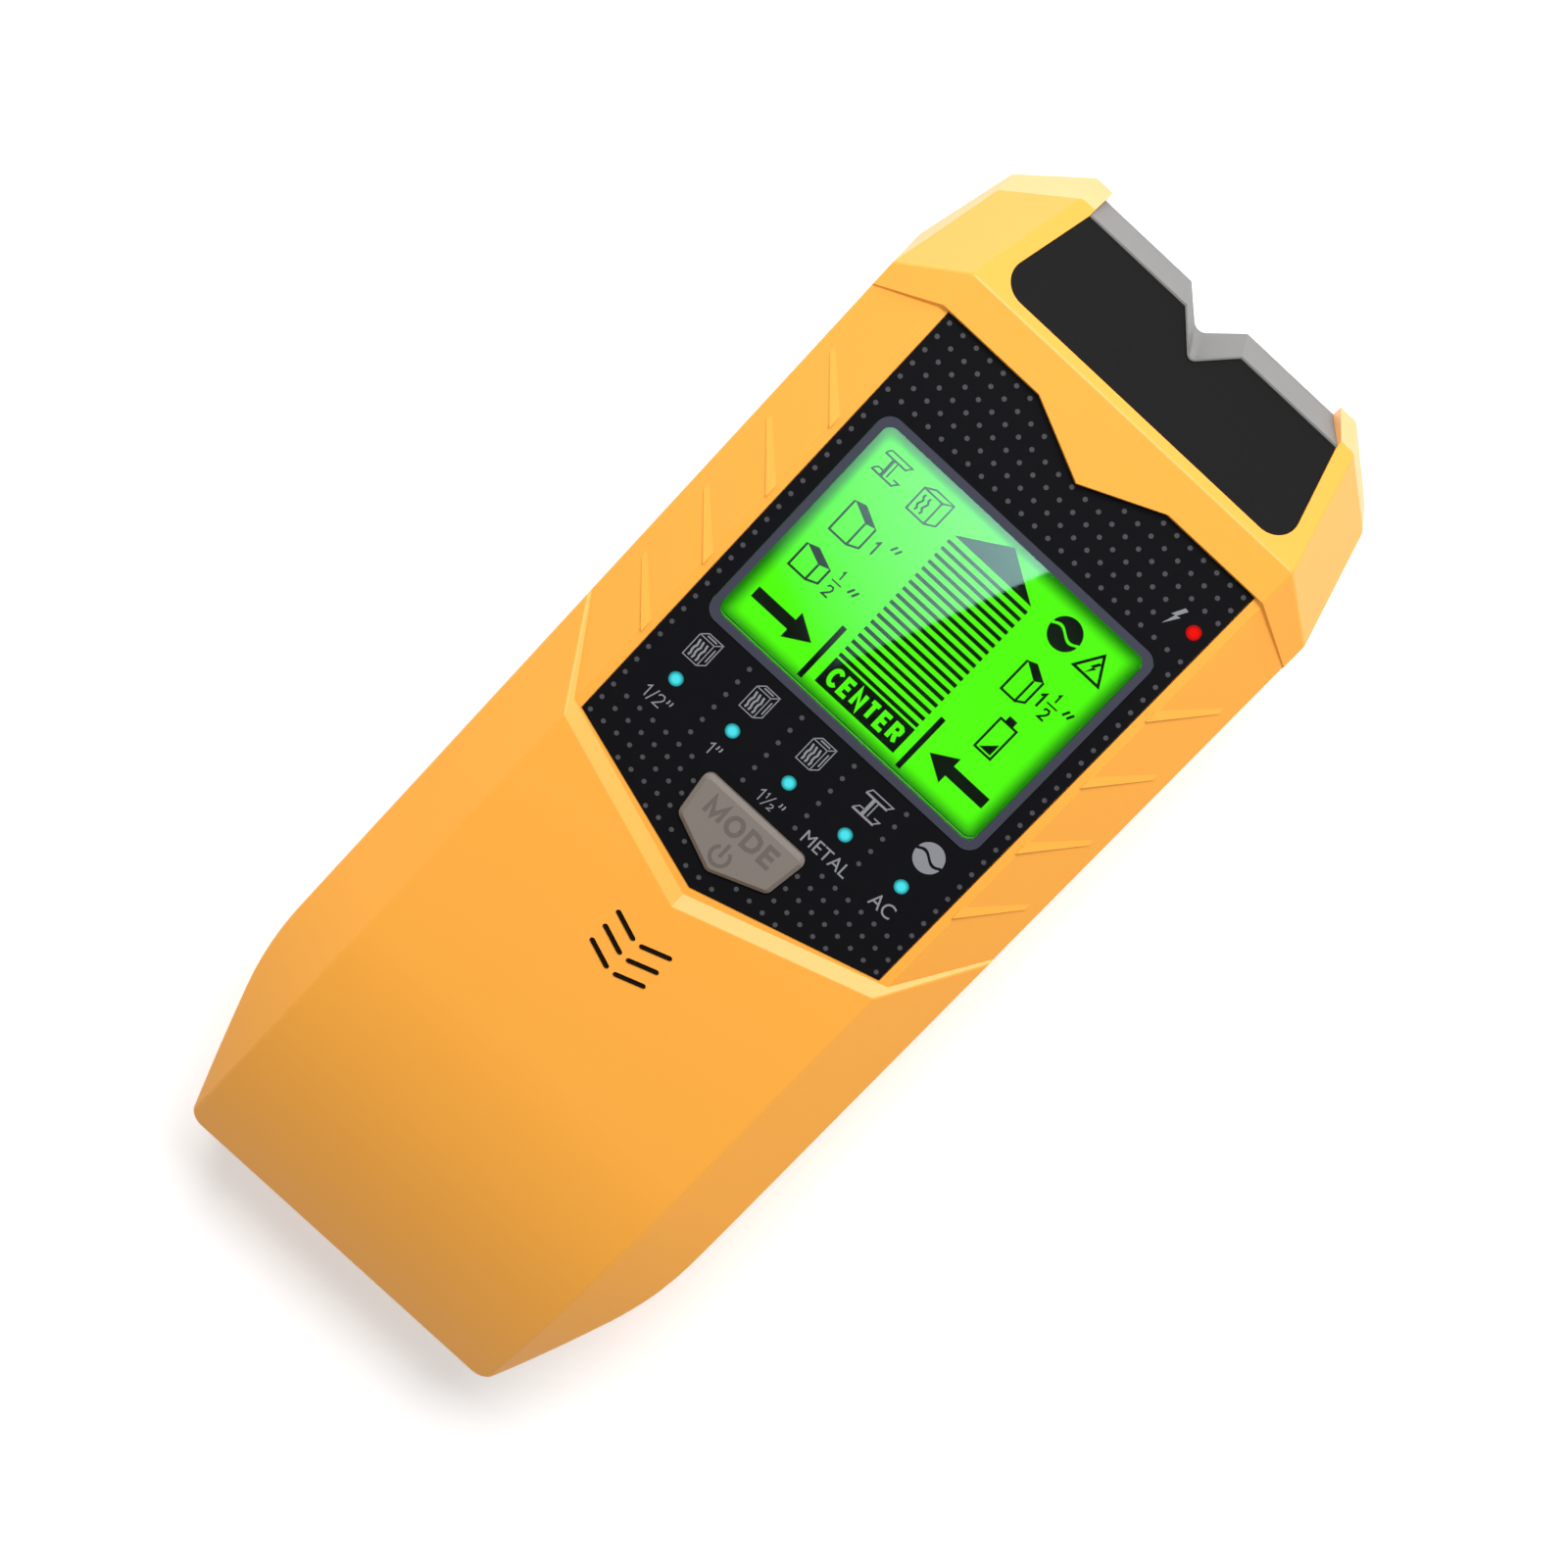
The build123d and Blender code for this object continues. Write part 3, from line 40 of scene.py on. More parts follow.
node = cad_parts


# ---- Back shell, battery door and glide pads ----
# The back is a black tub moulded with a fine spark-eroded texture. The door is the same
# plastic and slides off the tail. Four smooth pads are stuck on so that it glides on a wall.
def shader_group(name, inputs, outputs):
    """An empty shader node group with these sockets; returns it with its two end nodes."""
    group = bpy.data.node_groups.new(name, "ShaderNodeTree")
    for label, kind, value in inputs:
        socket = group.interface.new_socket(label, in_out="INPUT", socket_type=kind)
        socket.default_value = value
    for label, kind in outputs:
        group.interface.new_socket(label, in_out="OUTPUT", socket_type=kind)
    return group, group.nodes.new("NodeGroupInput"), group.nodes.new("NodeGroupOutput")


DRIFT_SCALE = 28.0
GRAIN_SHARE, DRIFT_SHARE = 0.45, 0.55


def moulded_skin():
    """Fine pitted texture of a spark-eroded mould, with slow colour drift and uneven sheen."""
    group, taken, given = shader_group(
        "moulded_skin",
        [
            ("Colour", "NodeSocketColor", (0.5, 0.5, 0.5, 1)),
            ("Deep Colour", "NodeSocketColor", (0.4, 0.4, 0.4, 1)),
            ("Grain Size", "NodeSocketFloat", 2600.0),
            ("Roughness", "NodeSocketFloat", 0.5),
            ("Roughness Spread", "NodeSocketFloat", 0.08),
        ],
        [
            ("Colour", "NodeSocketColor"),
            ("Roughness", "NodeSocketFloat"),
            ("Height", "NodeSocketFloat"),
        ],
    )
    nodes, links = group.nodes, group.links
    place = nodes.new("ShaderNodeTexCoord")
    grain = nodes.new("ShaderNodeTexNoise")
    grain.inputs["Detail"].default_value = 3.0
    drift = nodes.new("ShaderNodeTexNoise")
    drift.inputs["Scale"].default_value = DRIFT_SCALE
    drift.inputs["Detail"].default_value = 2.0
    speck = nodes.new("ShaderNodeMix")
    speck.data_type = "RGBA"
    blend = nodes.new("ShaderNodeMath")
    blend.operation = "MULTIPLY_ADD"
    blend.inputs[1].default_value = GRAIN_SHARE
    sheen = nodes.new("ShaderNodeMath")
    sheen.operation = "MULTIPLY_ADD"
    drifted = nodes.new("ShaderNodeMath")
    drifted.operation = "MULTIPLY"
    drifted.inputs[1].default_value = DRIFT_SHARE
    links.new(place.outputs["Object"], grain.inputs["Vector"])
    links.new(place.outputs["Object"], drift.inputs["Vector"])
    links.new(taken.outputs["Grain Size"], grain.inputs["Scale"])
    links.new(drift.outputs["Fac"], drifted.inputs[0])
    links.new(grain.outputs["Fac"], blend.inputs[0])
    links.new(drifted.outputs[0], blend.inputs[2])
    links.new(blend.outputs[0], speck.inputs["Factor"])
    links.new(taken.outputs["Deep Colour"], speck.inputs["A"])
    links.new(taken.outputs["Colour"], speck.inputs["B"])
    links.new(grain.outputs["Fac"], sheen.inputs[0])
    links.new(taken.outputs["Roughness Spread"], sheen.inputs[1])
    links.new(taken.outputs["Roughness"], sheen.inputs[2])
    links.new(speck.outputs["Result"], given.inputs["Colour"])
    links.new(sheen.outputs[0], given.inputs["Roughness"])
    links.new(grain.outputs["Fac"], given.inputs["Height"])
    return group


MOULDED_SKIN = moulded_skin()
GRAIN_STRENGTH = 0.35


def moulded(name, colour, deep, roughness, grain=2600.0, depth=0.02, level=0.5):
    """A moulded plastic or rubber; depth is the texture's height in millimetres."""
    material = bpy.data.materials.new(name)
    material.use_nodes = True
    nodes, links = material.node_tree.nodes, material.node_tree.links
    shader = nodes["Principled BSDF"]
    shader.inputs["Specular IOR Level"].default_value = level
    skin = nodes.new("ShaderNodeGroup")
    skin.node_tree = MOULDED_SKIN
    skin.inputs["Colour"].default_value = (*colour, 1)
    skin.inputs["Deep Colour"].default_value = (*deep, 1)
    skin.inputs["Grain Size"].default_value = grain
    skin.inputs["Roughness"].default_value = roughness
    bump = nodes.new("ShaderNodeBump")
    bump.inputs["Strength"].default_value = GRAIN_STRENGTH
    bump.inputs["Distance"].default_value = depth * MM
    links.new(skin.outputs["Colour"], shader.inputs["Base Color"])
    links.new(skin.outputs["Roughness"], shader.inputs["Roughness"])
    links.new(skin.outputs["Height"], bump.inputs["Height"])
    links.new(bump.outputs["Normal"], shader.inputs["Normal"])
    return material


def finish_node(name, material):
    """Gives a carried-over CAD piece its finish."""
    mesh = node[name].data
    mesh.materials.clear()
    mesh.materials.append(material)


black_back = moulded("black_back", (0.034, 0.034, 0.037), (0.018, 0.018, 0.02), 0.5)
pad_rubber = moulded("pad_rubber", (0.06, 0.06, 0.062), (0.045, 0.045, 0.046), 0.35, 900.0)
finish_node("back_shell", black_back)
finish_node("battery_door", black_back)
finish_node("glide_pads", pad_rubber)

# ---- Battery, its snap connector, leads and foam ----
# A nine-volt block: a lacquered can crimped round six cells, with a fibre top and two
# plated studs. A moulded snap connector carries two soft leads up to the board.
STAIN_SCALE = 120.0
LINE_SHEEN = 0.15


def worked_metal_skin():
    """Fine lines left by rolling or drawing, with faint stains."""
    group, taken, given = shader_group(
        "worked_metal",
        [
            ("Colour", "NodeSocketColor", (0.6, 0.6, 0.6, 1)),
            ("Stain", "NodeSocketColor", (0.4, 0.4, 0.4, 1)),
            ("Roughness", "NodeSocketFloat", 0.3),
            ("Line Scale", "NodeSocketVector", (300.0, 9000.0, 9000.0)),
        ],
        [
            ("Colour", "NodeSocketColor"),
            ("Roughness", "NodeSocketFloat"),
            ("Height", "NodeSocketFloat"),
        ],
    )
    nodes, links = group.nodes, group.links
    place = nodes.new("ShaderNodeTexCoord")
    stretch = nodes.new("ShaderNodeVectorMath")
    stretch.operation = "MULTIPLY"
    lines = nodes.new("ShaderNodeTexNoise")
    lines.inputs["Scale"].default_value = 1.0
    lines.inputs["Detail"].default_value = 2.0
    stains = nodes.new("ShaderNodeTexNoise")
    stains.inputs["Scale"].default_value = STAIN_SCALE
    mix = nodes.new("ShaderNodeMix")
    mix.data_type = "RGBA"
    sheen = nodes.new("ShaderNodeMath")
    sheen.operation = "MULTIPLY_ADD"
    sheen.inputs[1].default_value = LINE_SHEEN
    links.new(place.outputs["Object"], stretch.inputs[0])
    links.new(taken.outputs["Line Scale"], stretch.inputs[1])
    links.new(stretch.outputs["Vector"], lines.inputs["Vector"])
    links.new(place.outputs["Object"], stains.inputs["Vector"])
    links.new(stains.outputs["Fac"], mix.inputs["Factor"])
    links.new(taken.outputs["Colour"], mix.inputs["A"])
    links.new(taken.outputs["Stain"], mix.inputs["B"])
    links.new(lines.outputs["Fac"], sheen.inputs[0])
    links.new(taken.outputs["Roughness"], sheen.inputs[2])
    links.new(mix.outputs["Result"], given.inputs["Colour"])
    links.new(sheen.outputs[0], given.inputs["Roughness"])
    links.new(lines.outputs["Fac"], given.inputs["Height"])
    return group


WORKED_METAL = worked_metal_skin()
LINE_STRENGTH = 0.25
LINE_DEPTH = 0.008
ACROSS = 9000.0


def worked_metal(name, colour, stain, roughness, lines=(300.0, ACROSS, ACROSS), metallic=1.0):
    """A plated, rolled or drawn metal, or a lacquer over it where metallic is lower."""
    material = bpy.data.materials.new(name)
    material.use_nodes = True
    nodes, links = material.node_tree.nodes, material.node_tree.links
    shader = nodes["Principled BSDF"]
    shader.inputs["Metallic"].default_value = metallic
    skin = nodes.new("ShaderNodeGroup")
    skin.node_tree = WORKED_METAL
    skin.inputs["Colour"].default_value = (*colour, 1)
    skin.inputs["Stain"].default_value = (*stain, 1)
    skin.inputs["Roughness"].default_value = roughness
    skin.inputs["Line Scale"].default_value = lines
    bump = nodes.new("ShaderNodeBump")
    bump.inputs["Strength"].default_value = LINE_STRENGTH
    bump.inputs["Distance"].default_value = LINE_DEPTH * MM
    links.new(skin.outputs["Colour"], shader.inputs["Base Color"])
    links.new(skin.outputs["Roughness"], shader.inputs["Roughness"])
    links.new(skin.outputs["Height"], bump.inputs["Height"])
    links.new(bump.outputs["Normal"], shader.inputs["Normal"])
    return material


BAND_SHARE = 0.3


def lacquered_can():
    """Dark lacquer, with a copper-coloured band round the end that has the studs."""
    material = worked_metal(
        "battery_skin", (0.03, 0.03, 0.035), (0.02, 0.02, 0.025), 0.25, metallic=0.3
    )
    nodes, links = material.node_tree.nodes, material.node_tree.links
    shader = nodes["Principled BSDF"]
    low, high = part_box("battery_can")
    band_starts = high[1] - BAND_SHARE * (high[1] - low[1])
    place = nodes.new("ShaderNodeTexCoord")
    axes = nodes.new("ShaderNodeSeparateXYZ")
    past = nodes.new("ShaderNodeMath")
    past.operation = "GREATER_THAN"
    past.inputs[1].default_value = band_starts
    split = nodes.new("ShaderNodeMix")
    split.data_type = "RGBA"
    split.inputs["B"].default_value = (0.55, 0.27, 0.1, 1)
    skin = next(n for n in nodes if n.type == "GROUP")
    links.new(place.outputs["Object"], axes.inputs["Vector"])
    links.new(axes.outputs["Y"], past.inputs[0])
    links.new(past.outputs[0], split.inputs["Factor"])
    links.new(skin.outputs["Colour"], split.inputs["A"])
    links.new(split.outputs["Result"], shader.inputs["Base Color"])
    return material


finish_node("battery_can", lacquered_can())
finish_node("battery_cells", worked_metal("cell_skin", (0.62, 0.62, 0.64), (0.5, 0.5, 0.52), 0.35))
finish_node(
    "battery_terminals", worked_metal("stud_plating", (0.75, 0.73, 0.68), (0.6, 0.57, 0.5), 0.2)
)
finish_node(
    "battery_top", moulded("fibre_top", (0.03, 0.028, 0.026), (0.02, 0.018, 0.016), 0.6, 1500.0)
)
finish_node(
    "snap_connector", moulded("snap_moulding", (0.02, 0.02, 0.022), (0.014, 0.014, 0.015), 0.45)
)
finish_node(
    "battery_lead_red", moulded("red_lead", (0.55, 0.015, 0.01), (0.42, 0.01, 0.008), 0.4, 1200.0)
)
finish_node(
    "battery_lead_black",
    moulded("black_lead", (0.015, 0.015, 0.016), (0.01, 0.01, 0.01), 0.4, 1200.0),
)
finish_node(
    "battery_foam", moulded("foam", (0.06, 0.06, 0.065), (0.02, 0.02, 0.022), 0.9, 1400.0, 0.3)
)

# ---- Sensing board, copper plates, search coil and header ----
# The lower board lies close to the wall. Three etched plates feel the wall's density, a
# wound coil on a former finds metal, and eight pins join it to the main board.
TRACK_SCALE = 160.0
TRACK_WIDTH = 0.03


def board_finish(name, mask, track):
    """Green solder mask, lighter where it covers the etched tracks."""
    material = moulded(name, mask, tuple(0.8 * c for c in mask), 0.3, 900.0, 0.004)
    nodes, links = material.node_tree.nodes, material.node_tree.links
    shader = nodes["Principled BSDF"]
    skin = next(n for n in nodes if n.type == "GROUP")
    place = nodes.new("ShaderNodeTexCoord")
    tracks = nodes.new("ShaderNodeTexBrick")
    tracks.inputs["Scale"].default_value = TRACK_SCALE
    tracks.inputs["Mortar Size"].default_value = TRACK_WIDTH
    tracks.inputs["Color1"].default_value = (0, 0, 0, 1)
    tracks.inputs["Color2"].default_value = (0, 0, 0, 1)
    tracks.inputs["Mortar"].default_value = (1, 1, 1, 1)
    paint = nodes.new("ShaderNodeMix")
    paint.data_type = "RGBA"
    paint.inputs["B"].default_value = (*track, 1)
    links.new(place.outputs["Object"], tracks.inputs["Vector"])
    links.new(tracks.outputs["Color"], paint.inputs["Factor"])
    links.new(skin.outputs["Colour"], paint.inputs["A"])
    links.new(paint.outputs["Result"], shader.inputs["Base Color"])
    return material


board_green = board_finish("circuit_board", (0.015, 0.14, 0.05), (0.03, 0.24, 0.1))
finish_node("sensor_board", board_green)
finish_node("sensor_plates", worked_metal("copper", (0.75, 0.36, 0.2), (0.6, 0.25, 0.12), 0.3))
finish_node(
    "metal_coil",
    worked_metal("copper_wire", (0.62, 0.24, 0.09), (0.45, 0.15, 0.05), 0.25, (ACROSS, ACROSS, 200.0)),
)
finish_node("coil_former", moulded("former_moulding", (0.75, 0.74, 0.7), (0.68, 0.67, 0.62), 0.5))
finish_node(
    "pin_header", moulded("header_moulding", (0.02, 0.02, 0.02), (0.014, 0.014, 0.014), 0.45)
)
finish_node(
    "header_pins",
    worked_metal("pin_gold", (0.85, 0.62, 0.3), (0.75, 0.5, 0.2), 0.2, (ACROSS, ACROSS, 300.0)),
)

# ---- Main board, its chips, lamps, switch and buzzer ----
# The upper board hangs from posts under the roof. It carries the controller, small ceramic
# parts, six lamp chips, the tactile switch and the buzzer behind its slots.
finish_node("main_board", board_green)
finish_node(
    "controller_chip",
    moulded("chip_epoxy", (0.02, 0.02, 0.022), (0.014, 0.014, 0.015), 0.5, 3000.0),
)
finish_node(
    "board_components",
    moulded("chip_ceramic", (0.34, 0.22, 0.13), (0.25, 0.16, 0.09), 0.45, 3000.0),
)
finish_node("lamp_chips", moulded("lamp_chip", (0.85, 0.78, 0.5), (0.8, 0.7, 0.4), 0.3, 3000.0))
finish_node("switch_body", worked_metal("switch_metal", (0.6, 0.6, 0.6), (0.5, 0.5, 0.5), 0.35))
finish_node("buzzer", moulded("buzzer_moulding", (0.02, 0.02, 0.02), (0.014, 0.014, 0.014), 0.5))


THREAD_SCALE = 500.0
THREAD_RISE = 0.1


def woven_mesh():
    """Acoustic cloth: two sets of threads that cross."""
    material = moulded("mesh_cloth", (0.03, 0.03, 0.03), (0.01, 0.01, 0.01), 0.8, 2000.0)
    nodes, links = material.node_tree.nodes, material.node_tree.links
    shader = nodes["Principled BSDF"]
    place = nodes.new("ShaderNodeTexCoord")
    threads = []
    for direction in ("X", "Y"):
        thread = nodes.new("ShaderNodeTexWave")
        thread.bands_direction = direction
        thread.inputs["Scale"].default_value = THREAD_SCALE
        links.new(place.outputs["Object"], thread.inputs["Vector"])
        threads.append(thread)
    over = nodes.new("ShaderNodeMath")
    over.operation = "MAXIMUM"
    bump = next(n for n in nodes if n.type == "BUMP")
    bump.inputs["Distance"].default_value = THREAD_RISE * MM
    links.new(threads[0].outputs["Fac"], over.inputs[0])
    links.new(threads[1].outputs["Fac"], over.inputs[1])
    links.new(over.outputs[0], bump.inputs["Height"])
    links.new(bump.outputs["Normal"], shader.inputs["Normal"])
    return material


finish_node("buzzer_mesh", woven_mesh())

# ---- Display: holder, backlight, contact strips and the lit cell ----
# A white frame holds a light guide and two striped rubber strips under a liquid crystal
# cell. The cell glows green, with painted shade darkening it along the window's edges.
finish_node("lcd_holder", moulded("white_moulding", (0.8, 0.8, 0.78), (0.75, 0.75, 0.72), 0.45))
finish_node(
    "zebra_strips", moulded("contact_rubber", (0.45, 0.28, 0.3), (0.2, 0.1, 0.12), 0.6, 2200.0)
)

window_low, window_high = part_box("lcd_lens")
window_middle = [(a + b) / 2 for a, b in zip(window_low, window_high)]
WINDOW_HALF = [(b - a) / 2 for a, b in zip(window_low, window_high)][:2]
ART_SHIFT = (0.13, -0.46)
SEEN_MIDDLE = (window_middle[0] + ART_SHIFT[0] * MM, window_middle[1] + ART_SHIFT[1] * MM)
LIT_GREEN = (0.075, 1.0, 0.0)
# Painted shade: the dark green that the lit cell fades to along the window's edges.
EDGE_SHADE_GREEN = (0.008, 0.2, 0.0)
CORNER_ROUND = 1.5
EDGE_SHADE_STARTS, EDGE_SHADE_ENDS = -0.1, 2.3
CLOUD_SCALE = 90.0


def lit_green(name, strength):
    """Backlit green, with painted shade darkening it within a millimetre or two of the window's edges.
    """
    material = bpy.data.materials.new(name)
    material.use_nodes = True
    nodes, links = material.node_tree.nodes, material.node_tree.links
    shader = nodes["Principled BSDF"]
    shader.inputs["Base Color"].default_value = (0.004, 0.02, 0.002, 1)
    shader.inputs["Roughness"].default_value = 0.5
    shader.inputs["Specular IOR Level"].default_value = 0.1
    shader.inputs["Emission Strength"].default_value = strength
    place = nodes.new("ShaderNodeTexCoord")
    centre = nodes.new("ShaderNodeMapping")
    centre.inputs["Location"].default_value = (-SEEN_MIDDLE[0], -SEEN_MIDDLE[1], 0)
    axes = nodes.new("ShaderNodeSeparateXYZ")
    links.new(place.outputs["Object"], centre.inputs["Vector"])
    links.new(centre.outputs["Vector"], axes.inputs["Vector"])
    margins = []
    for axis, half in zip("XY", WINDOW_HALF):
        size = nodes.new("ShaderNodeMath")
        size.operation = "ABSOLUTE"
        inside = nodes.new("ShaderNodeMath")
        inside.operation = "SUBTRACT"
        inside.inputs[0].default_value = half
        links.new(axes.outputs[axis], size.inputs[0])
        links.new(size.outputs[0], inside.inputs[1])
        margins.append(inside)
    nearest = nodes.new("ShaderNodeMath")
    nearest.operation = "SMOOTH_MIN"
    nearest.inputs[2].default_value = CORNER_ROUND * MM
    # Painted shade along the window's edges, where the bezel's walls shade the cell.
    fade = nodes.new("ShaderNodeMapRange")
    fade.interpolation_type = "SMOOTHSTEP"
    fade.inputs["From Min"].default_value = EDGE_SHADE_STARTS * MM
    fade.inputs["From Max"].default_value = EDGE_SHADE_ENDS * MM
    cloud = nodes.new("ShaderNodeTexNoise")
    cloud.inputs["Scale"].default_value = CLOUD_SCALE
    glow = nodes.new("ShaderNodeMix")
    glow.data_type = "RGBA"
    glow.inputs["A"].default_value = (*EDGE_SHADE_GREEN, 1)
    uneven = nodes.new("ShaderNodeMix")
    uneven.data_type = "RGBA"
    uneven.inputs["A"].default_value = (*LIT_GREEN, 1)
    uneven.inputs["B"].default_value = (LIT_GREEN[0] * 1.25, LIT_GREEN[1], 0.004, 1)
    links.new(margins[0].outputs[0], nearest.inputs[0])
    links.new(margins[1].outputs[0], nearest.inputs[1])
    links.new(nearest.outputs[0], fade.inputs["Value"])
    links.new(place.outputs["Object"], cloud.inputs["Vector"])
    links.new(cloud.outputs["Fac"], uneven.inputs["Factor"])
    links.new(fade.outputs["Result"], glow.inputs["Factor"])
    links.new(uneven.outputs["Result"], glow.inputs["B"])
    links.new(glow.outputs["Result"], shader.inputs["Emission Color"])
    return material


display_green = lit_green("display_glass", 1.05)
finish_node("lcd_cell", display_green)
finish_node("lcd_backlight", lit_green("green_light", 0.6))

# ---- Display artwork: the dark segments of the cell ----
# Etched segments turn dark where they are driven: a bar arrow that grows towards a stud, two
# arrows that point at its middle, pictures of joists and a beam, depths, and a battery.
def patch(ink, points):
    """A flat patch with these corners, in millimetres."""
    ink.faces.new([ink.verts.new((x, y, 0)) for x, y in points])


def ribbon(ink, points, width, closed=False):
    """A flat line of even width through these points, with mitred corners."""
    path = [Vector((x, y, 0)) for x, y in points]
    count = len(path)
    rails = []
    for i, at in enumerate(path):
        before = path[i - 1] if i or closed else at - (path[1] - at)
        after = path[(i + 1) % count] if i < count - 1 or closed else at + (at - path[i - 1])
        come, leave = (at - before).normalized(), (after - at).normalized()
        lean = Vector((-(come.y + leave.y), come.x + leave.x, 0)).normalized()
        reach = width / 2 / max(0.4, lean.dot(Vector((-come.y, come.x, 0))))
        rails.append((ink.verts.new(at + lean * reach), ink.verts.new(at - lean * reach)))
    for i in range(count if closed else count - 1):
        (a, b), (c, d) = rails[i], rails[(i + 1) % count]
        ink.faces.new((a, b, d, c))


def spot(ink, centre, radius, sides):
    """A flat disc."""
    place = Matrix.Translation((*centre, 0))
    bmesh.ops.create_circle(ink, cap_ends=True, segments=sides, radius=radius, matrix=place)


def lettering(ink, text, box):
    """Flat characters stretched to fill a box (left, bottom, right, top)."""
    face = bpy.data.curves.new("letters", "FONT")
    face.body = text
    face.fill_mode = "FRONT"
    holder = bpy.data.objects.new("letters", face)
    flat = bpy.data.meshes.new_from_object(holder)
    xs = [v.co.x for v in flat.vertices]
    ys = [v.co.y for v in flat.vertices]
    left, bottom, right, top = box
    stretch = Matrix.Diagonal(
        ((right - left) / (max(xs) - min(xs)), (top - bottom) / (max(ys) - min(ys)), 1, 1)
    )
    corner = Matrix.Translation((-min(xs), -min(ys), 0))
    flat.transform(Matrix.Translation((left, bottom, 0)) @ stretch @ corner)
    ink.from_mesh(flat)
    bpy.data.objects.remove(holder)
    bpy.data.curves.remove(face)
    bpy.data.meshes.remove(flat)


def oval(half_wide, first, sweep, steps):
    """Points round an upright oval one unit tall, from one angle in degrees on."""
    angles = [radians(first + sweep * i / steps) for i in range(steps + 1)]
    return [(half_wide + half_wide * cos(a), 0.5 + 0.5 * sin(a)) for a in angles]


# Each letter is one or more strokes through these points, on a field one unit tall.
STROKES = {
    "M": [[(0.0, 0), (0.0, 1), (0.42, 0.12), (0.84, 1), (0.84, 0)]],
    "O": [oval(0.4, 0, 360, 20)],
    "D": [[(0, 0), (0, 1), (0.35, 1), (0.62, 0.86), (0.72, 0.5), (0.62, 0.14), (0.35, 0), (0, 0)]],
    "E": [[(0.62, 1), (0, 1), (0, 0), (0.64, 0)], [(0, 0.52), (0.56, 0.52)]],
    "C": [oval(0.38, 42, 276, 14)],
    "N": [[(0, 0), (0, 1), (0.64, 0), (0.64, 1)]],
    "T": [[(0, 1), (0.7, 1)], [(0.35, 1), (0.35, 0)]],
    "R": [
        [(0, 0), (0, 1), (0.45, 1), (0.62, 0.88), (0.62, 0.62), (0.45, 0.5), (0.18, 0.5)],
        [(0.34, 0.5), (0.64, 0)],
    ],
    "1": [[(0.0, 0.76), (0.24, 1.0), (0.24, 0)]],
    "2": [[(0, 0.76), (0.12, 0.96), (0.4, 0.98), (0.5, 0.76), (0.42, 0.52), (0.0, 0.0), (0.56, 0.0)]],
}


def stroke_word(ink, text, left, bottom, height, width, weight, gap=0.32):
    """Bold capitals drawn with even strokes, fitted to this height and overall width."""
    reach = [max(x for line in STROKES[letter] for x, _ in line) for letter in text]
    scale = (width - weight) / (sum(reach) + gap * (len(text) - 1))
    at = left + weight / 2
    rise = height - weight
    for letter, wide in zip(text, reach):
        for order, line in enumerate(STROKES[letter]):
            points = [(at + scale * x, bottom + weight / 2 + rise * y) for x, y in line]
            if order:
                start, following = Vector(points[0]), Vector(points[1])
                points[0] = tuple(start + (following - start).normalized() * weight / 2)
            if points[0] == points[-1]:
                ribbon(ink, points[:-1], weight, True)
            else:
                ribbon(ink, points, weight)
        at += scale * (wide + gap)


WAVE_SWING = 0.23
WAVE_STEPS = 24
JUST_INSIDE = 0.995


def wavy_disc(ink, centre, radius, gap):
    """A disc cut across by one sine wave, as the sign for alternating current."""
    steps = WAVE_STEPS
    wave = []
    for i in range(steps + 1):
        x = radius * (2 * i / steps - 1)
        wave.append((x, WAVE_SWING * radius * sin(pi * (x / radius + 1))))
    for side in (1, -1):
        moved = [(x, y + side * gap / 2) for x, y in wave]
        shore = [(x, y) for x, y in moved if x * x + y**2 < JUST_INSIDE * radius**2]
        start = atan2(shore[-1][1], shore[-1][0])
        finish = atan2(shore[0][1], shore[0][0])
        if side > 0:
            finish += 2 * pi if finish < start else 0
        else:
            finish -= 2 * pi if finish > start else 0
        angles = [start + (finish - start) * i / steps for i in range(steps + 1)]
        rim = [(radius * cos(a), radius * sin(a)) for a in angles]
        patch(ink, [(centre[0] + x, centre[1] + y) for x, y in shore + rim])


def bolt(ink, centre, wide, tall):
    """A small lightning flash."""
    upper = [(0.3, 1.0), (-0.7, 0.0), (-0.1, 0.1)]
    lower = [(-0.75, -1.0), (0.75, 0.22), (0.1, 0.12), (0.95, 0.95)]
    patch(ink, [(centre[0] + wide * x, centre[1] + tall * y) for x, y in upper + lower])


WELD = 1e-5


def settle(ink, name, middle, z, thick, material, body):
    """Gives flat artwork its thickness, places it, and makes it a piece on a body."""
    bmesh.ops.remove_doubles(ink, verts=ink.verts, dist=WELD)
    bmesh.ops.triangulate(ink, faces=[f for f in ink.faces if len(f.verts) > 4])
    bmesh.ops.recalc_face_normals(ink, faces=ink.faces)
    for face in ink.faces:
        if face.normal.z < 0:
            face.normal_flip()
    bmesh.ops.solidify(ink, geom=ink.faces[:], thickness=thick / MM)
    bmesh.ops.recalc_face_normals(ink, faces=ink.faces)
    drop = min(v.co.z for v in ink.verts)
    bmesh.ops.translate(ink, verts=ink.verts, vec=(0, 0, -drop))
    bmesh.ops.scale(ink, verts=ink.verts, vec=(MM, MM, MM))
    bmesh.ops.translate(ink, verts=ink.verts, vec=(*middle, z))
    mesh = bpy.data.meshes.new(name)
    ink.to_mesh(mesh)
    ink.free()
    mesh.materials.append(material)
    piece = bpy.data.objects.new(name, mesh)
    bpy.context.scene.collection.objects.link(piece)
    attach(piece, body)


def joist(ink, left, bottom, wide, tall, deep, line):
    """The outline of a block of wood, seen from above and a little to the right."""
    over, up = deep
    right, top = left + wide, bottom + tall
    ribbon(ink, [(left, bottom), (right, bottom), (right, top), (left, top)], line, True)
    ribbon(ink, [(left, top), (left + over, top + up), (right + over, top + up), (right, top)], line)
    ribbon(ink, [(right + over, top + up), (right + over, bottom + up), (right, bottom)], line)


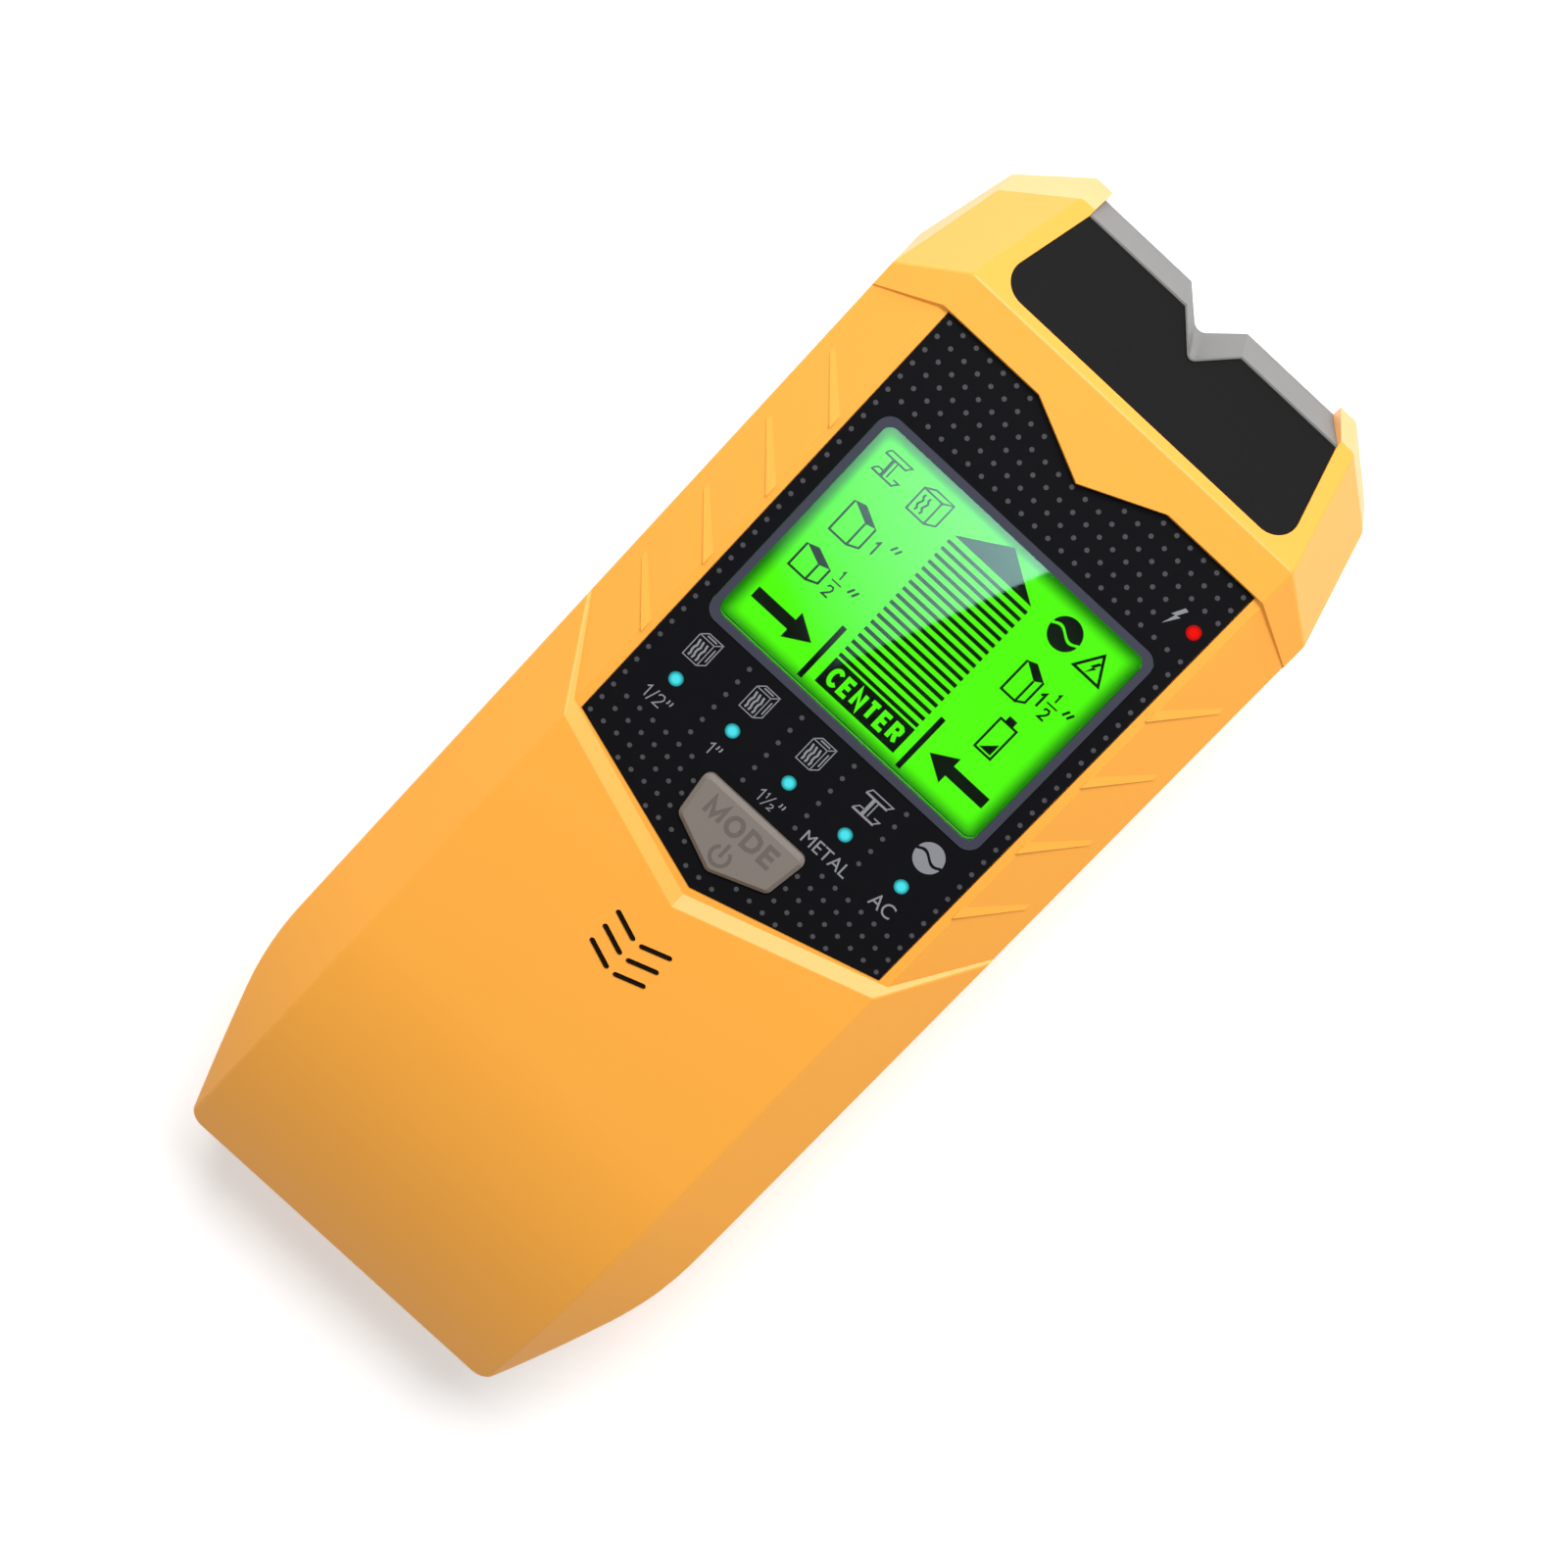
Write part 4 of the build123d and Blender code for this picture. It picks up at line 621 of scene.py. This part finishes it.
def beam(ink, left, bottom, line):
    """A steel beam seen from its end: two flanges joined by a web."""
    wide, over, up, tall, thick = 3.5, 0.5, 0.7, 3.6, 0.3
    right = left + wide
    upper = bottom + tall - up - thick
    back = thick + up - line / 2
    for level in (bottom, upper):
        top = level + thick
        patch(ink, [(left, level), (right, level), (right, top), (left, top)])
    near_left, near_right = left + 0.12, left + wide - 0.1
    top_left, top_right = left + over, left + wide + over - 0.1
    ribbon(
        ink,
        [(near_left, upper + thick), (top_left, upper + back),
         (top_right, upper + back), (near_right, upper + thick)],
        line,
    )
    for start, reach in ((near_left, 0.8), (near_right, -0.9)):
        hidden = [(start + over, bottom + back), (start + over + reach, bottom + back)]
        ribbon(ink, [(start, bottom + thick), *hidden], line)
    web = left + 0.45 * wide
    web_left, web_right, web_foot = web - 0.3, web + 0.18, bottom + thick
    patch(
        ink,
        [(web_left, web_foot), (web_right, web_foot), (web_right, upper), (web_left, upper)],
    )
    ribbon(ink, [(web + 0.6, bottom + thick + 0.2), (web + 0.6, upper)], line)


BLOCK_LINE = 0.3


def depth_block(ink, corners, foot, foot_right):
    """A block seen from above: a dark top with these corners, and two outlined sides."""
    left, back, right, front = corners
    patch(ink, [left, front, right, back])
    ribbon(ink, [left, (left[0], foot), (front[0], foot), front], BLOCK_LINE)
    ribbon(ink, [(front[0], foot), (right[0], foot_right), right], BLOCK_LINE)


BARS = 18
BAR_TOP, BAR_STEP, BAR_HALF = 10.25, 1.156, 0.26
BAR_LEFT, BAR_RIGHT = -6.5, 6.65
BAR_ROOF = [(0.1, 15.25), (-6.4, 11.25), (6.5, 11.25)]
WORD_FIELD = [(-6.5, -14.05), (6.7, -14.05), (6.7, -10.0), (-6.5, -10.0)]
SIDE_POST = [(7.9, -15.0), (8.65, -15.0), (8.65, -6.5), (7.9, -6.5)]
SIDE_ARROW = [
    (19.35, -11.65), (19.35, -10.05), (13.3, -10.05), (13.3, -8.8),
    (9.95, -10.85), (13.3, -12.9), (13.3, -11.65),
]
INCH_BLOCK = [(-18.0, 6.1), (-16.55, 6.6), (-13.7, 5.15), (-15.15, 4.75)]
HALF_BLOCK = [(-18.7, -1.85), (-17.2, -1.3), (-14.4, -2.45), (-15.9, -3.0)]
DEEP_BLOCK = [(10.75, 6.1), (11.95, 6.6), (14.1, 5.35), (13.05, 4.65)]
WARNING = [(17.15, 13.0), (15.1, 9.6), (19.2, 9.6)]
CELL_CAN = [(13.3, -6.3), (15.9, -6.3), (15.9, -1.5), (13.3, -1.5)]
CELL_STUD = [(13.95, -1.35), (15.2, -1.35), (15.2, -0.55), (13.95, -0.55)]
CELL_CHARGE = [(13.75, -5.95), (15.55, -5.95), (15.55, -4.2)]
INCH_MARKS = ((-10.7, 4.45), (-11.0, -3.1), (18.45, 4.0))


def segments():
    """Everything that is dark, in millimetres from the middle of the cell's artwork."""
    ink = bmesh.new()
    patch(ink, BAR_ROOF)
    for bar in range(BARS):
        level = BAR_TOP - BAR_STEP * bar
        low, high = level - BAR_HALF, level + BAR_HALF
        patch(ink, [(BAR_LEFT, low), (BAR_RIGHT, low), (BAR_RIGHT, high), (BAR_LEFT, high)])
    patch(ink, WORD_FIELD)
    for side in (-1, 1):
        patch(ink, [(side * x, y) for x, y in SIDE_POST])
        patch(ink, [(side * x, y) for x, y in SIDE_ARROW])
    beam(ink, -19.35, 10.25, 0.25)
    joist(ink, -12.9, 9.7, 2.9, 3.4, (1.3, 0.75), 0.3)
    for grain in (-12.1, -11.3):
        ribbon(ink, [(grain + 0.18 * sin(2.1 * i), 10.2 + 0.4 * i) for i in range(7)], 0.32)
    depth_block(ink, INCH_BLOCK, 1.25, 1.95)
    depth_block(ink, HALF_BLOCK, -5.45, -4.8)
    depth_block(ink, DEEP_BLOCK, 1.25, 1.95)
    stroke_word(ink, "1", -12.75, 2.2, 2.25, 0.75, 0.3)
    stroke_word(ink, "1", -13.15, -2.7, 1.45, 0.5, 0.22)
    ribbon(ink, [(-13.5, -3.15), (-12.0, -3.15)], 0.2)
    stroke_word(ink, "2", -13.4, -5.45, 1.75, 1.15, 0.24)
    stroke_word(ink, "1", 14.7, 2.4, 2.3, 0.8, 0.32)
    stroke_word(ink, "1", 16.4, 4.4, 1.4, 0.5, 0.24)
    ribbon(ink, [(16.0, 3.9), (17.65, 3.9)], 0.2)
    stroke_word(ink, "2", 16.25, 1.65, 1.75, 1.15, 0.26)
    for left, low in INCH_MARKS:
        for nudge in (0.0, 0.7):
            ribbon(ink, [(left + nudge, low), (left + nudge + 0.45, low + 0.95)], 0.32)
    wavy_disc(ink, (11.8, 11.65), 2.25, 0.4)
    ribbon(ink, WARNING, 0.36, True)
    bolt(ink, (17.15, 10.85), 0.62, 1.1)
    ribbon(ink, CELL_CAN, 0.3, True)
    patch(ink, CELL_STUD)
    patch(ink, CELL_CHARGE)
    return ink


SEGMENT_T = 0.02 * MM
cell_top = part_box("lcd_cell")[1][2]
segment_ink = moulded(
    "segment_ink", (0.004, 0.012, 0.006), (0.002, 0.008, 0.004), 0.6, 600.0, 0.002, 0.1
)
settle(
    segments(), "display_segments", SEEN_MIDDLE, cell_top, SEGMENT_T, segment_ink,
    "housing",
)
word = bmesh.new()
stroke_word(word, "CENTER", -5.75, -13.4, 2.75, 11.75, 0.6, 0.5)
settle(
    word, "display_word", SEEN_MIDDLE, cell_top + SEGMENT_T, SEGMENT_T, display_green,
    "housing",
)

# ---- Display window ----
# A flat clear acrylic plate over the lit cell. It drops into the bezel from above and is
# glued to the bezel's inner walls.
RIPPLE_SCALE = 45.0
RIPPLE_STRENGTH = 0.05
RIPPLE_DEPTH = 0.02


def clear_acrylic():
    """Polished clear plastic with the faintest ripple."""
    material = bpy.data.materials.new("clear_window")
    material.use_nodes = True
    nodes, links = material.node_tree.nodes, material.node_tree.links
    shader = nodes["Principled BSDF"]
    shader.inputs["Base Color"].default_value = (0.97, 1.0, 0.98, 1)
    shader.inputs["Roughness"].default_value = 0.015
    shader.inputs["IOR"].default_value = 1.49
    shader.inputs["Transmission Weight"].default_value = 1.0
    place = nodes.new("ShaderNodeTexCoord")
    ripple = nodes.new("ShaderNodeTexNoise")
    ripple.inputs["Scale"].default_value = RIPPLE_SCALE
    bump = nodes.new("ShaderNodeBump")
    bump.inputs["Strength"].default_value = RIPPLE_STRENGTH
    bump.inputs["Distance"].default_value = RIPPLE_DEPTH * MM
    links.new(place.outputs["Object"], ripple.inputs["Vector"])
    links.new(ripple.outputs["Fac"], bump.inputs["Height"])
    links.new(bump.outputs["Normal"], shader.inputs["Normal"])
    return material


finish_node("lcd_lens", clear_acrylic())

# ---- Front shell ----
# One orange moulding with a fine texture makes the roof, the walls, the grip ribs and the
# two horns beside the nose. Most of its creases are softened in the mould.
orange_shell = moulded(
    "orange_shell", (0.95, 0.415, 0.058), (0.92, 0.38, 0.046), 0.36, 4200.0, 0.012, 0.4
)
finish_node("front_shell", orange_shell)

# ---- Painted shade in the sound slots ----
# Six dark slips sit in the slots under the roof as painted shade for the dark insides of the
# slots. They are cut a little smaller than the slots and stand on the cloth below.
SLOT_INNER = (0.8, -20.2)
SLOT_OUTER = (4.3, -18.9)
SLOT_STEP = 2.53
SLOT_ROWS = 3
SHADE_SLIP_HALF = 0.36
SHADE_SLIP_TOP = 35.95
END_TURNS = 6
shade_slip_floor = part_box("buzzer_mesh")[1][2] / MM
shade_slip_run = Vector(SLOT_OUTER) - Vector(SLOT_INNER)
heading = atan2(shade_slip_run.y, shade_slip_run.x)
slot_shade = bmesh.new()
for row in range(SLOT_ROWS):
    for side in (-1, 1):
        points = []
        for end, start in ((SLOT_OUTER, -90), (SLOT_INNER, 90)):
            for i in range(END_TURNS + 1):
                a = heading + radians(start + 180 / END_TURNS * i)
                x, y = end[0] + SHADE_SLIP_HALF * cos(a), end[1] - SLOT_STEP * row + SHADE_SLIP_HALF * sin(a)
                points.append((side * x, y))
        patch(slot_shade, points)
# Painted shade: a near-black brown that stands for the shade inside the slots.
painted_slot_shade = moulded(
    "painted_slot_shade", (0.012, 0.006, 0.003), (0.006, 0.003, 0.0015), 0.9, 3000.0, 0.05, 0.1
)
settle(
    slot_shade, "slot_shade_slips", (0, 0), shade_slip_floor * MM, (SHADE_SLIP_TOP - shade_slip_floor) * MM, painted_slot_shade,
    "housing",
)

# ---- Nose block and head cover ----
# The end wall with the pencil notch is a grey satin insert. The head cover is a black
# coarse-grained plate glued into the slope above it.
grey_nose = moulded(
    "grey_nose", (0.145, 0.142, 0.137), (0.113, 0.111, 0.107), 0.45, 5200.0, 0.012, 0.3
)
black_texture = moulded(
    "black_texture", (0.009, 0.009, 0.009), (0.0035, 0.0035, 0.0035), 0.55, 3600.0, 0.04, 0.1
)
finish_node("nose_block", grey_nose)
finish_node("head_cover", black_texture)

# ---- Face plate and what is printed on it ----
# A black plate glued into the waist's recess, screen-printed in grey: a grid of small dots,
# a picture and a depth or word for each lamp, and a flash beside the warning lamp.
black_face = moulded(
    "black_face", (0.0055, 0.0055, 0.007), (0.004, 0.004, 0.0055), 0.45, 700.0, 0.003, 0.08
)
finish_node("faceplate", black_face)
DOT_PITCH = 2.2
DOT_R = 0.33
DOT_SIDES = 10
PLATE_MARGIN, BUTTON_MARGIN = 0.1, 0.15
# Rows are counted from the one nearest to the plate's middle, columns from its axis.
END_ROW, EDGE_COLUMN = 17, 11
ROWS_TO_ORIGIN = 12
ABOVE_DISPLAY, BELOW_SIGNS = 12, -11
FLASH_ROWS, FLASH_COLUMNS = (13, 14), 9
SIGN_ROWS = range(-10, -4)
CLEAR_COLUMNS = (2, 6)
PRINT_T = 0.012 * MM
face_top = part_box("faceplate")[1][2]
plate_outline = [
    (-25.1, -2.75), (0, -10.55), (25.1, -2.75), (25.1, 64.7),
    (10.45, 64.7), (0, 59.9), (-10.45, 64.7), (-25.1, 64.7),
]
button_outline = [(-8.5, 2.6), (-7.6, -4.2), (0, -7.35), (7.6, -4.2), (8.5, 2.6)]


def edge_distance(x, y, outline):
    """Distance to the nearest side of an outline, positive inside it."""
    at = Vector((x, y))
    inside = False
    nearest = 1e9
    for i in range(len(outline)):
        a, b = Vector(outline[i - 1]), Vector(outline[i])
        side = b - a
        t = min(1.0, max(0.0, (at - a).dot(side) / side.length_squared))
        nearest = min(nearest, (at - a - side * t).length)
        if (a.y > y) != (b.y > y) and x < a.x + (y - a.y) * side.x / side.y:
            inside = not inside
    return nearest if inside else -nearest


def dot_grid():
    """The dots that are left clear of the display, the lamps, the words and the button."""
    ink = bmesh.new()
    for row in range(-END_ROW, END_ROW + 1):
        for column in range(-EDGE_COLUMN, EDGE_COLUMN + 1):
            x, y = DOT_PITCH * column, DOT_PITCH * (row + ROWS_TO_ORIGIN)
            by_flash = column >= FLASH_COLUMNS and row in FLASH_ROWS
            open_field = row >= ABOVE_DISPLAY or abs(column) == EDGE_COLUMN
            among_signs = row in SIGN_ROWS and abs(column) in CLEAR_COLUMNS
            by_metal_word = (column, row) == (CLEAR_COLUMNS[1], SIGN_ROWS[0])
            shown = (
                open_field and not by_flash
                or among_signs and not by_metal_word
                or row <= BELOW_SIGNS
            )
            if not shown or edge_distance(x, y, plate_outline) < DOT_R + PLATE_MARGIN:
                continue
            if edge_distance(x, y, button_outline) > -DOT_R - BUTTON_MARGIN:
                continue
            spot(ink, (x, y), DOT_R, DOT_SIDES)
    return ink


SIGN_MIDDLES = (-19.0, -9.5, 0.0)


def pictures():
    """Three joists, a beam, the current sign and the flash."""
    ink = bmesh.new()
    for middle in SIGN_MIDDLES:
        joist(ink, middle - 1.6, 11.15, 2.3, 3.35, (0.85, 0.8), 0.14)
        for grain in (-1.18, -0.62, 0.0):
            left = middle + grain + 0.16
            ribbon(ink, [(left + 0.09 * sin(1.9 * i), 11.5 + 0.42 * i) for i in range(7)], 0.29)
        ribbon(ink, [(middle - 0.75, 14.95), (middle + 0.75, 14.95)], 0.2)
        ribbon(ink, [(middle + 1.2, 12.2), (middle + 1.2, 14.2)], 0.18)
    beam(ink, 7.65, 11.3, 0.17)
    wavy_disc(ink, (18.97, 13.24), 2.07, 0.42)
    bolt(ink, (19.85, 56.4), 0.85, 1.65)
    return ink


WORD_FOOT = 3.72
FIGURE_TALL, FIGURE_SMALL = 1.85, 0.95
FIGURE_LINE, SMALL_LINE = 0.17, 0.14
FACE_INCH_MARKS = (-17.8, -9.45, 1.15)


def words():
    """Depths and words under the lamps."""
    ink = bmesh.new()
    for left in (-21.1, -10.5, -2.0):
        stroke_word(ink, "1", left, WORD_FOOT, FIGURE_TALL, 0.62, FIGURE_LINE)
    stroke_word(ink, "2", -19.25, WORD_FOOT, FIGURE_TALL, 1.2, FIGURE_LINE)
    stroke_word(ink, "1", -1.05, 4.62, FIGURE_SMALL, 0.36, SMALL_LINE)
    stroke_word(ink, "2", 0.05, WORD_FOOT, FIGURE_SMALL, 0.75, SMALL_LINE)
    ribbon(ink, [(-20.1, 3.62), (-19.45, 5.62)], 0.16)
    ribbon(ink, [(-0.85, 3.62), (0.2, 5.62)], SMALL_LINE)
    for mark in FACE_INCH_MARKS:
        for left in (mark, mark + 0.5):
            ribbon(ink, [(left, 4.95), (left + 0.12, 5.2), (left + 0.12, 5.6)], 0.2)
    lettering(ink, "METAL", (5.8, WORD_FOOT, 13.1, 5.5))
    lettering(ink, "AC", (17.2, 3.68, 20.7, 5.66))
    return ink


dot_print = moulded(
    "dot_print", (0.075, 0.075, 0.082), (0.062, 0.062, 0.07), 0.5, 3000.0, 0.002, 0.08
)
sign_print = moulded(
    "sign_print", (0.25, 0.25, 0.275), (0.22, 0.22, 0.245), 0.5, 3000.0, 0.002, 0.08
)
settle(dot_grid(), "face_dots", (0, 0), face_top, PRINT_T, dot_print, "housing")
for ink, name in ((pictures(), "face_pictures"), (words(), "face_words")):
    settle(ink, name, (0, 0), face_top, PRINT_T, sign_print, "housing")

# ---- Display bezel ----
# A slim slate-coloured plastic frame that holds the window. It stands just above the face
# plate, in the plate's opening.
slate_frame = moulded(
    "slate_frame", (0.046, 0.047, 0.071), (0.04, 0.041, 0.062), 0.42, 3000.0, 0.006, 0.3
)
finish_node("lcd_bezel", slate_frame)

# ---- Mode button ----
# A taupe satin key with a bevelled rim, kept in by a flange under the roof, over a black
# plunger. Its word and its power sign are printed darker.
button_plastic = moulded(
    "button_plastic", (0.215, 0.186, 0.163), (0.18, 0.155, 0.135), 0.4, 4600.0, 0.01, 0.4
)
finish_node("mode_button", button_plastic)
finish_node(
    "switch_plunger", moulded("plunger_moulding", (0.02, 0.02, 0.02), (0.014, 0.014, 0.014), 0.45)
)
POWER_R, POWER_MIDDLE, POWER_LINE = 1.3, -4.55, 0.5
POWER_FROM, POWER_SWEEP, POWER_STEPS = 55, -290, 24
legend = bmesh.new()
stroke_word(legend, "MODE", -5.7, -1.9, 2.95, 11.45, 0.62, 0.4)
turns = [radians(POWER_FROM + POWER_SWEEP * i / POWER_STEPS) for i in range(POWER_STEPS + 1)]
ring = [(POWER_R * cos(a), POWER_MIDDLE + POWER_R * sin(a)) for a in turns]
ribbon(legend, ring, POWER_LINE)
ribbon(legend, [(0, -4.7), (0, -2.55)], POWER_LINE)
legend_print = moulded(
    "legend_print", (0.140, 0.119, 0.103), (0.122, 0.103, 0.089), 0.45, 3000.0, 0.003, 0.4
)
key_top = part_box("mode_button")[1][2]
settle(
    legend, "button_legend", (0, 0), key_top, PRINT_T, legend_print,
    "mode_button",
)

# ---- Lamps ----
# Short clear light pipes let the five blue-green lamps and the red warning lamp show
# through the face plate. Each is brightest in the middle and dims towards its rim.
CORE_R, RIM_R = 0.35, 1.05


def lamp_glow(name, core, rim, strength):
    """A lit light pipe, for the node of this name."""
    material = bpy.data.materials.new(name + "_light")
    material.use_nodes = True
    nodes, links = material.node_tree.nodes, material.node_tree.links
    shader = nodes["Principled BSDF"]
    shader.inputs["Base Color"].default_value = (*[0.05 * c for c in core], 1)
    shader.inputs["Specular IOR Level"].default_value = 0.15
    shader.inputs["Roughness"].default_value = 0.35
    shader.inputs["Emission Strength"].default_value = strength
    low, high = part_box(name)
    place = nodes.new("ShaderNodeTexCoord")
    centre = nodes.new("ShaderNodeMapping")
    centre.inputs["Location"].default_value = [-(a + b) / 2 for a, b in zip(low, high)]
    flat = nodes.new("ShaderNodeVectorMath")
    flat.operation = "MULTIPLY"
    flat.inputs[1].default_value = (1, 1, 0)
    radius = nodes.new("ShaderNodeVectorMath")
    radius.operation = "LENGTH"
    fade = nodes.new("ShaderNodeMapRange")
    fade.interpolation_type = "SMOOTHSTEP"
    fade.inputs["From Min"].default_value = CORE_R * MM
    fade.inputs["From Max"].default_value = RIM_R * MM
    glow = nodes.new("ShaderNodeMix")
    glow.data_type = "RGBA"
    glow.inputs["A"].default_value = (*core, 1)
    glow.inputs["B"].default_value = (*rim, 1)
    links.new(place.outputs["Object"], centre.inputs["Vector"])
    links.new(centre.outputs["Vector"], flat.inputs[0])
    links.new(flat.outputs["Vector"], radius.inputs[0])
    links.new(radius.outputs["Value"], fade.inputs["Value"])
    links.new(fade.outputs["Result"], glow.inputs["Factor"])
    links.new(glow.outputs["Result"], shader.inputs["Emission Color"])
    return material


TEAL_CORE, TEAL_RIM = (0.07, 0.76, 0.82), (0.006, 0.17, 0.19)
RED_CORE, RED_RIM = (1.0, 0.004, 0.002), (0.42, 0.002, 0.001)
for name in ("half_inch_lamp", "one_inch_lamp", "deep_scan_lamp", "metal_lamp", "ac_lamp"):
    finish_node(name, lamp_glow(name, TEAL_CORE, TEAL_RIM, 0.98))
finish_node("live_wire_lamp", lamp_glow("live_wire_lamp", RED_CORE, RED_RIM, 0.85))

# ---- Screws ----
# Four cross-head screws close the case from the back, and small pan-head screws hold the
# two boards. All are zinc-plated steel.
screw_steel = worked_metal(
    "screw_steel", (0.42, 0.42, 0.43), (0.3, 0.3, 0.31), 0.32, (4000.0, 4000.0, 4000.0)
)
for name in ("case_screws", "board_screws", "sensor_screws"):
    finish_node(name, screw_steel)

# ---- Studio: floor, soft lights and the camera ----
# A pale glowing table, one large soft light beyond the head, a small card over the case and
# a pale sky that darkens overhead. A long lens looks down on the display.
FLOOR_HALF = 3.0
FLOOR_DROP = 0.1
FLOOR_GLOW = 0.38
sweep = bmesh.new()
bmesh.ops.create_grid(sweep, x_segments=1, y_segments=1, size=FLOOR_HALF)
floor_mesh = bpy.data.meshes.new("floor")
sweep.to_mesh(floor_mesh)
sweep.free()
floor = bpy.data.objects.new("floor", floor_mesh)
bpy.context.scene.collection.objects.link(floor)
floor.location.z = -FLOOR_DROP * MM
floor_finish = bpy.data.materials.new("floor_paper")
floor_finish.use_nodes = True
floor_nodes, floor_links = floor_finish.node_tree.nodes, floor_finish.node_tree.links
paper = floor_nodes["Principled BSDF"]
paper.inputs["Base Color"].default_value = (0.97, 0.97, 0.97, 1)
paper.inputs["Roughness"].default_value = 0.9
paper.inputs["Emission Color"].default_value = (1, 1, 1, 1)
paper.inputs["Emission Strength"].default_value = FLOOR_GLOW
# Seen from below the table is clear, so that the back of the tool can be looked at.
underside = floor_nodes.new("ShaderNodeNewGeometry")
clear = floor_nodes.new("ShaderNodeBsdfTransparent")
one_way = floor_nodes.new("ShaderNodeMixShader")
floor_links.new(underside.outputs["Backfacing"], one_way.inputs["Fac"])
floor_links.new(paper.outputs["BSDF"], one_way.inputs[1])
floor_links.new(clear.outputs["BSDF"], one_way.inputs[2])
floor_links.new(one_way.outputs["Shader"], floor_nodes["Material Output"].inputs["Surface"])
floor_mesh.materials.append(floor_finish)


def soft_light(name, at, aim, size, power, colour=(1, 1, 1)):
    """A soft box of this width and height at one point, facing another."""
    lamp = bpy.data.lights.new(name, "AREA")
    lamp.shape = "RECTANGLE"
    lamp.size, lamp.size_y = size
    lamp.energy = power
    lamp.color = colour
    holder = bpy.data.objects.new(name, lamp)
    holder.location = at
    holder.rotation_euler = (Vector(aim) - Vector(at)).to_track_quat("-Z", "Y").to_euler()
    bpy.context.scene.collection.objects.link(holder)
    return holder


KEY_AT, KEY_AIM = (-0.07, 0.33, 0.48), (0, 0.02, 0.03)
KEY_SIZE = (0.34, 0.24)
KEY_POWER = 3.6
soft_light("key", KEY_AT, KEY_AIM, KEY_SIZE, KEY_POWER)

# The small bright card whose image is the slanted sheen on the display window.
CARD_SIZE = (0.055, 0.075)
CARD_TURN = radians(-21.9)
CARD_AT = (0.0044, -0.0716, 0.535)
CARD_POWER = 0.07
CARD_COLOUR = (0.6, 1.0, 0.97)
CARD_DARK, CARD_BRIGHT = 0.12, 0.95
card = soft_light(
    "card", CARD_AT, (CARD_AT[0], CARD_AT[1], 0), CARD_SIZE, CARD_POWER, CARD_COLOUR
)
card.rotation_euler = (0, 0, CARD_TURN)
card.data.use_nodes = True
card_nodes, card_links = card.data.node_tree.nodes, card.data.node_tree.links
card_shape = card_nodes.new("ShaderNodeNewGeometry")
card_axes = card_nodes.new("ShaderNodeSeparateXYZ")
card_fade = card_nodes.new("ShaderNodeMapRange")
card_fade.inputs["From Min"].default_value = CARD_DARK
card_fade.inputs["From Max"].default_value = CARD_BRIGHT
card_links.new(card_shape.outputs["Parametric"], card_axes.inputs["Vector"])
card_links.new(card_axes.outputs["Y"], card_fade.inputs["Value"])
card_links.new(card_fade.outputs["Result"], card_nodes["Emission"].inputs["Strength"])

# The sky is bright along the horizon, dark overhead and a little brighter beyond the head.
SKY_HORIZON, SKY_OVERHEAD = 0.92, 0.06
SKY_DARK_FROM = 0.9
SKY_HEAD_SIDE = 0.12
world = bpy.data.worlds.new("studio_air")
world.use_nodes = True
world_nodes, world_links = world.node_tree.nodes, world.node_tree.links
sky_place = world_nodes.new("ShaderNodeTexCoord")
sky_axes = world_nodes.new("ShaderNodeSeparateXYZ")
sky = world_nodes.new("ShaderNodeMapRange")
sky.inputs["From Min"].default_value = 0.0
sky.inputs["From Max"].default_value = SKY_DARK_FROM
sky.inputs["To Min"].default_value = SKY_HORIZON
sky.inputs["To Max"].default_value = SKY_OVERHEAD
world_links.new(sky_place.outputs["Generated"], sky_axes.inputs["Vector"])
world_links.new(sky_axes.outputs["Z"], sky.inputs["Value"])
toward_head = world_nodes.new("ShaderNodeMath")
toward_head.operation = "MULTIPLY_ADD"
toward_head.inputs[1].default_value = SKY_HEAD_SIDE
toward_head.use_clamp = True
world_links.new(sky_axes.outputs["Y"], toward_head.inputs[0])
world_links.new(sky.outputs["Result"], toward_head.inputs[2])
world_links.new(toward_head.outputs[0], world_nodes["Background"].inputs["Strength"])
world_nodes["Background"].inputs["Color"].default_value = (1, 1, 1, 1)
bpy.context.scene.world = world
bpy.context.scene.view_settings.view_transform = "Standard"

CAMERA_AT = (-0.03236, 0.15301, 0.5424)
SIGHT = (0.06051, -0.27493, -0.95956)
SIDEWAYS = (0.73357, 0.66417, -0.14404)
LENS_LENGTH, SENSOR_WIDTH = 98.15, 36.0
NEAR_CLIP = 0.01
camera = bpy.data.cameras.new("camera")
camera.sensor_width = SENSOR_WIDTH
camera.lens = LENS_LENGTH
camera.clip_start = NEAR_CLIP
viewer = bpy.data.objects.new("camera", camera)
bpy.context.scene.collection.objects.link(viewer)
sight = Vector(SIGHT).normalized()
across = Vector(SIDEWAYS).normalized()
upward = across.cross(sight)
turn = Matrix((across, upward, -sight)).transposed().to_4x4()
viewer.matrix_world = Matrix.Translation(CAMERA_AT) @ turn
bpy.context.scene.camera = viewer
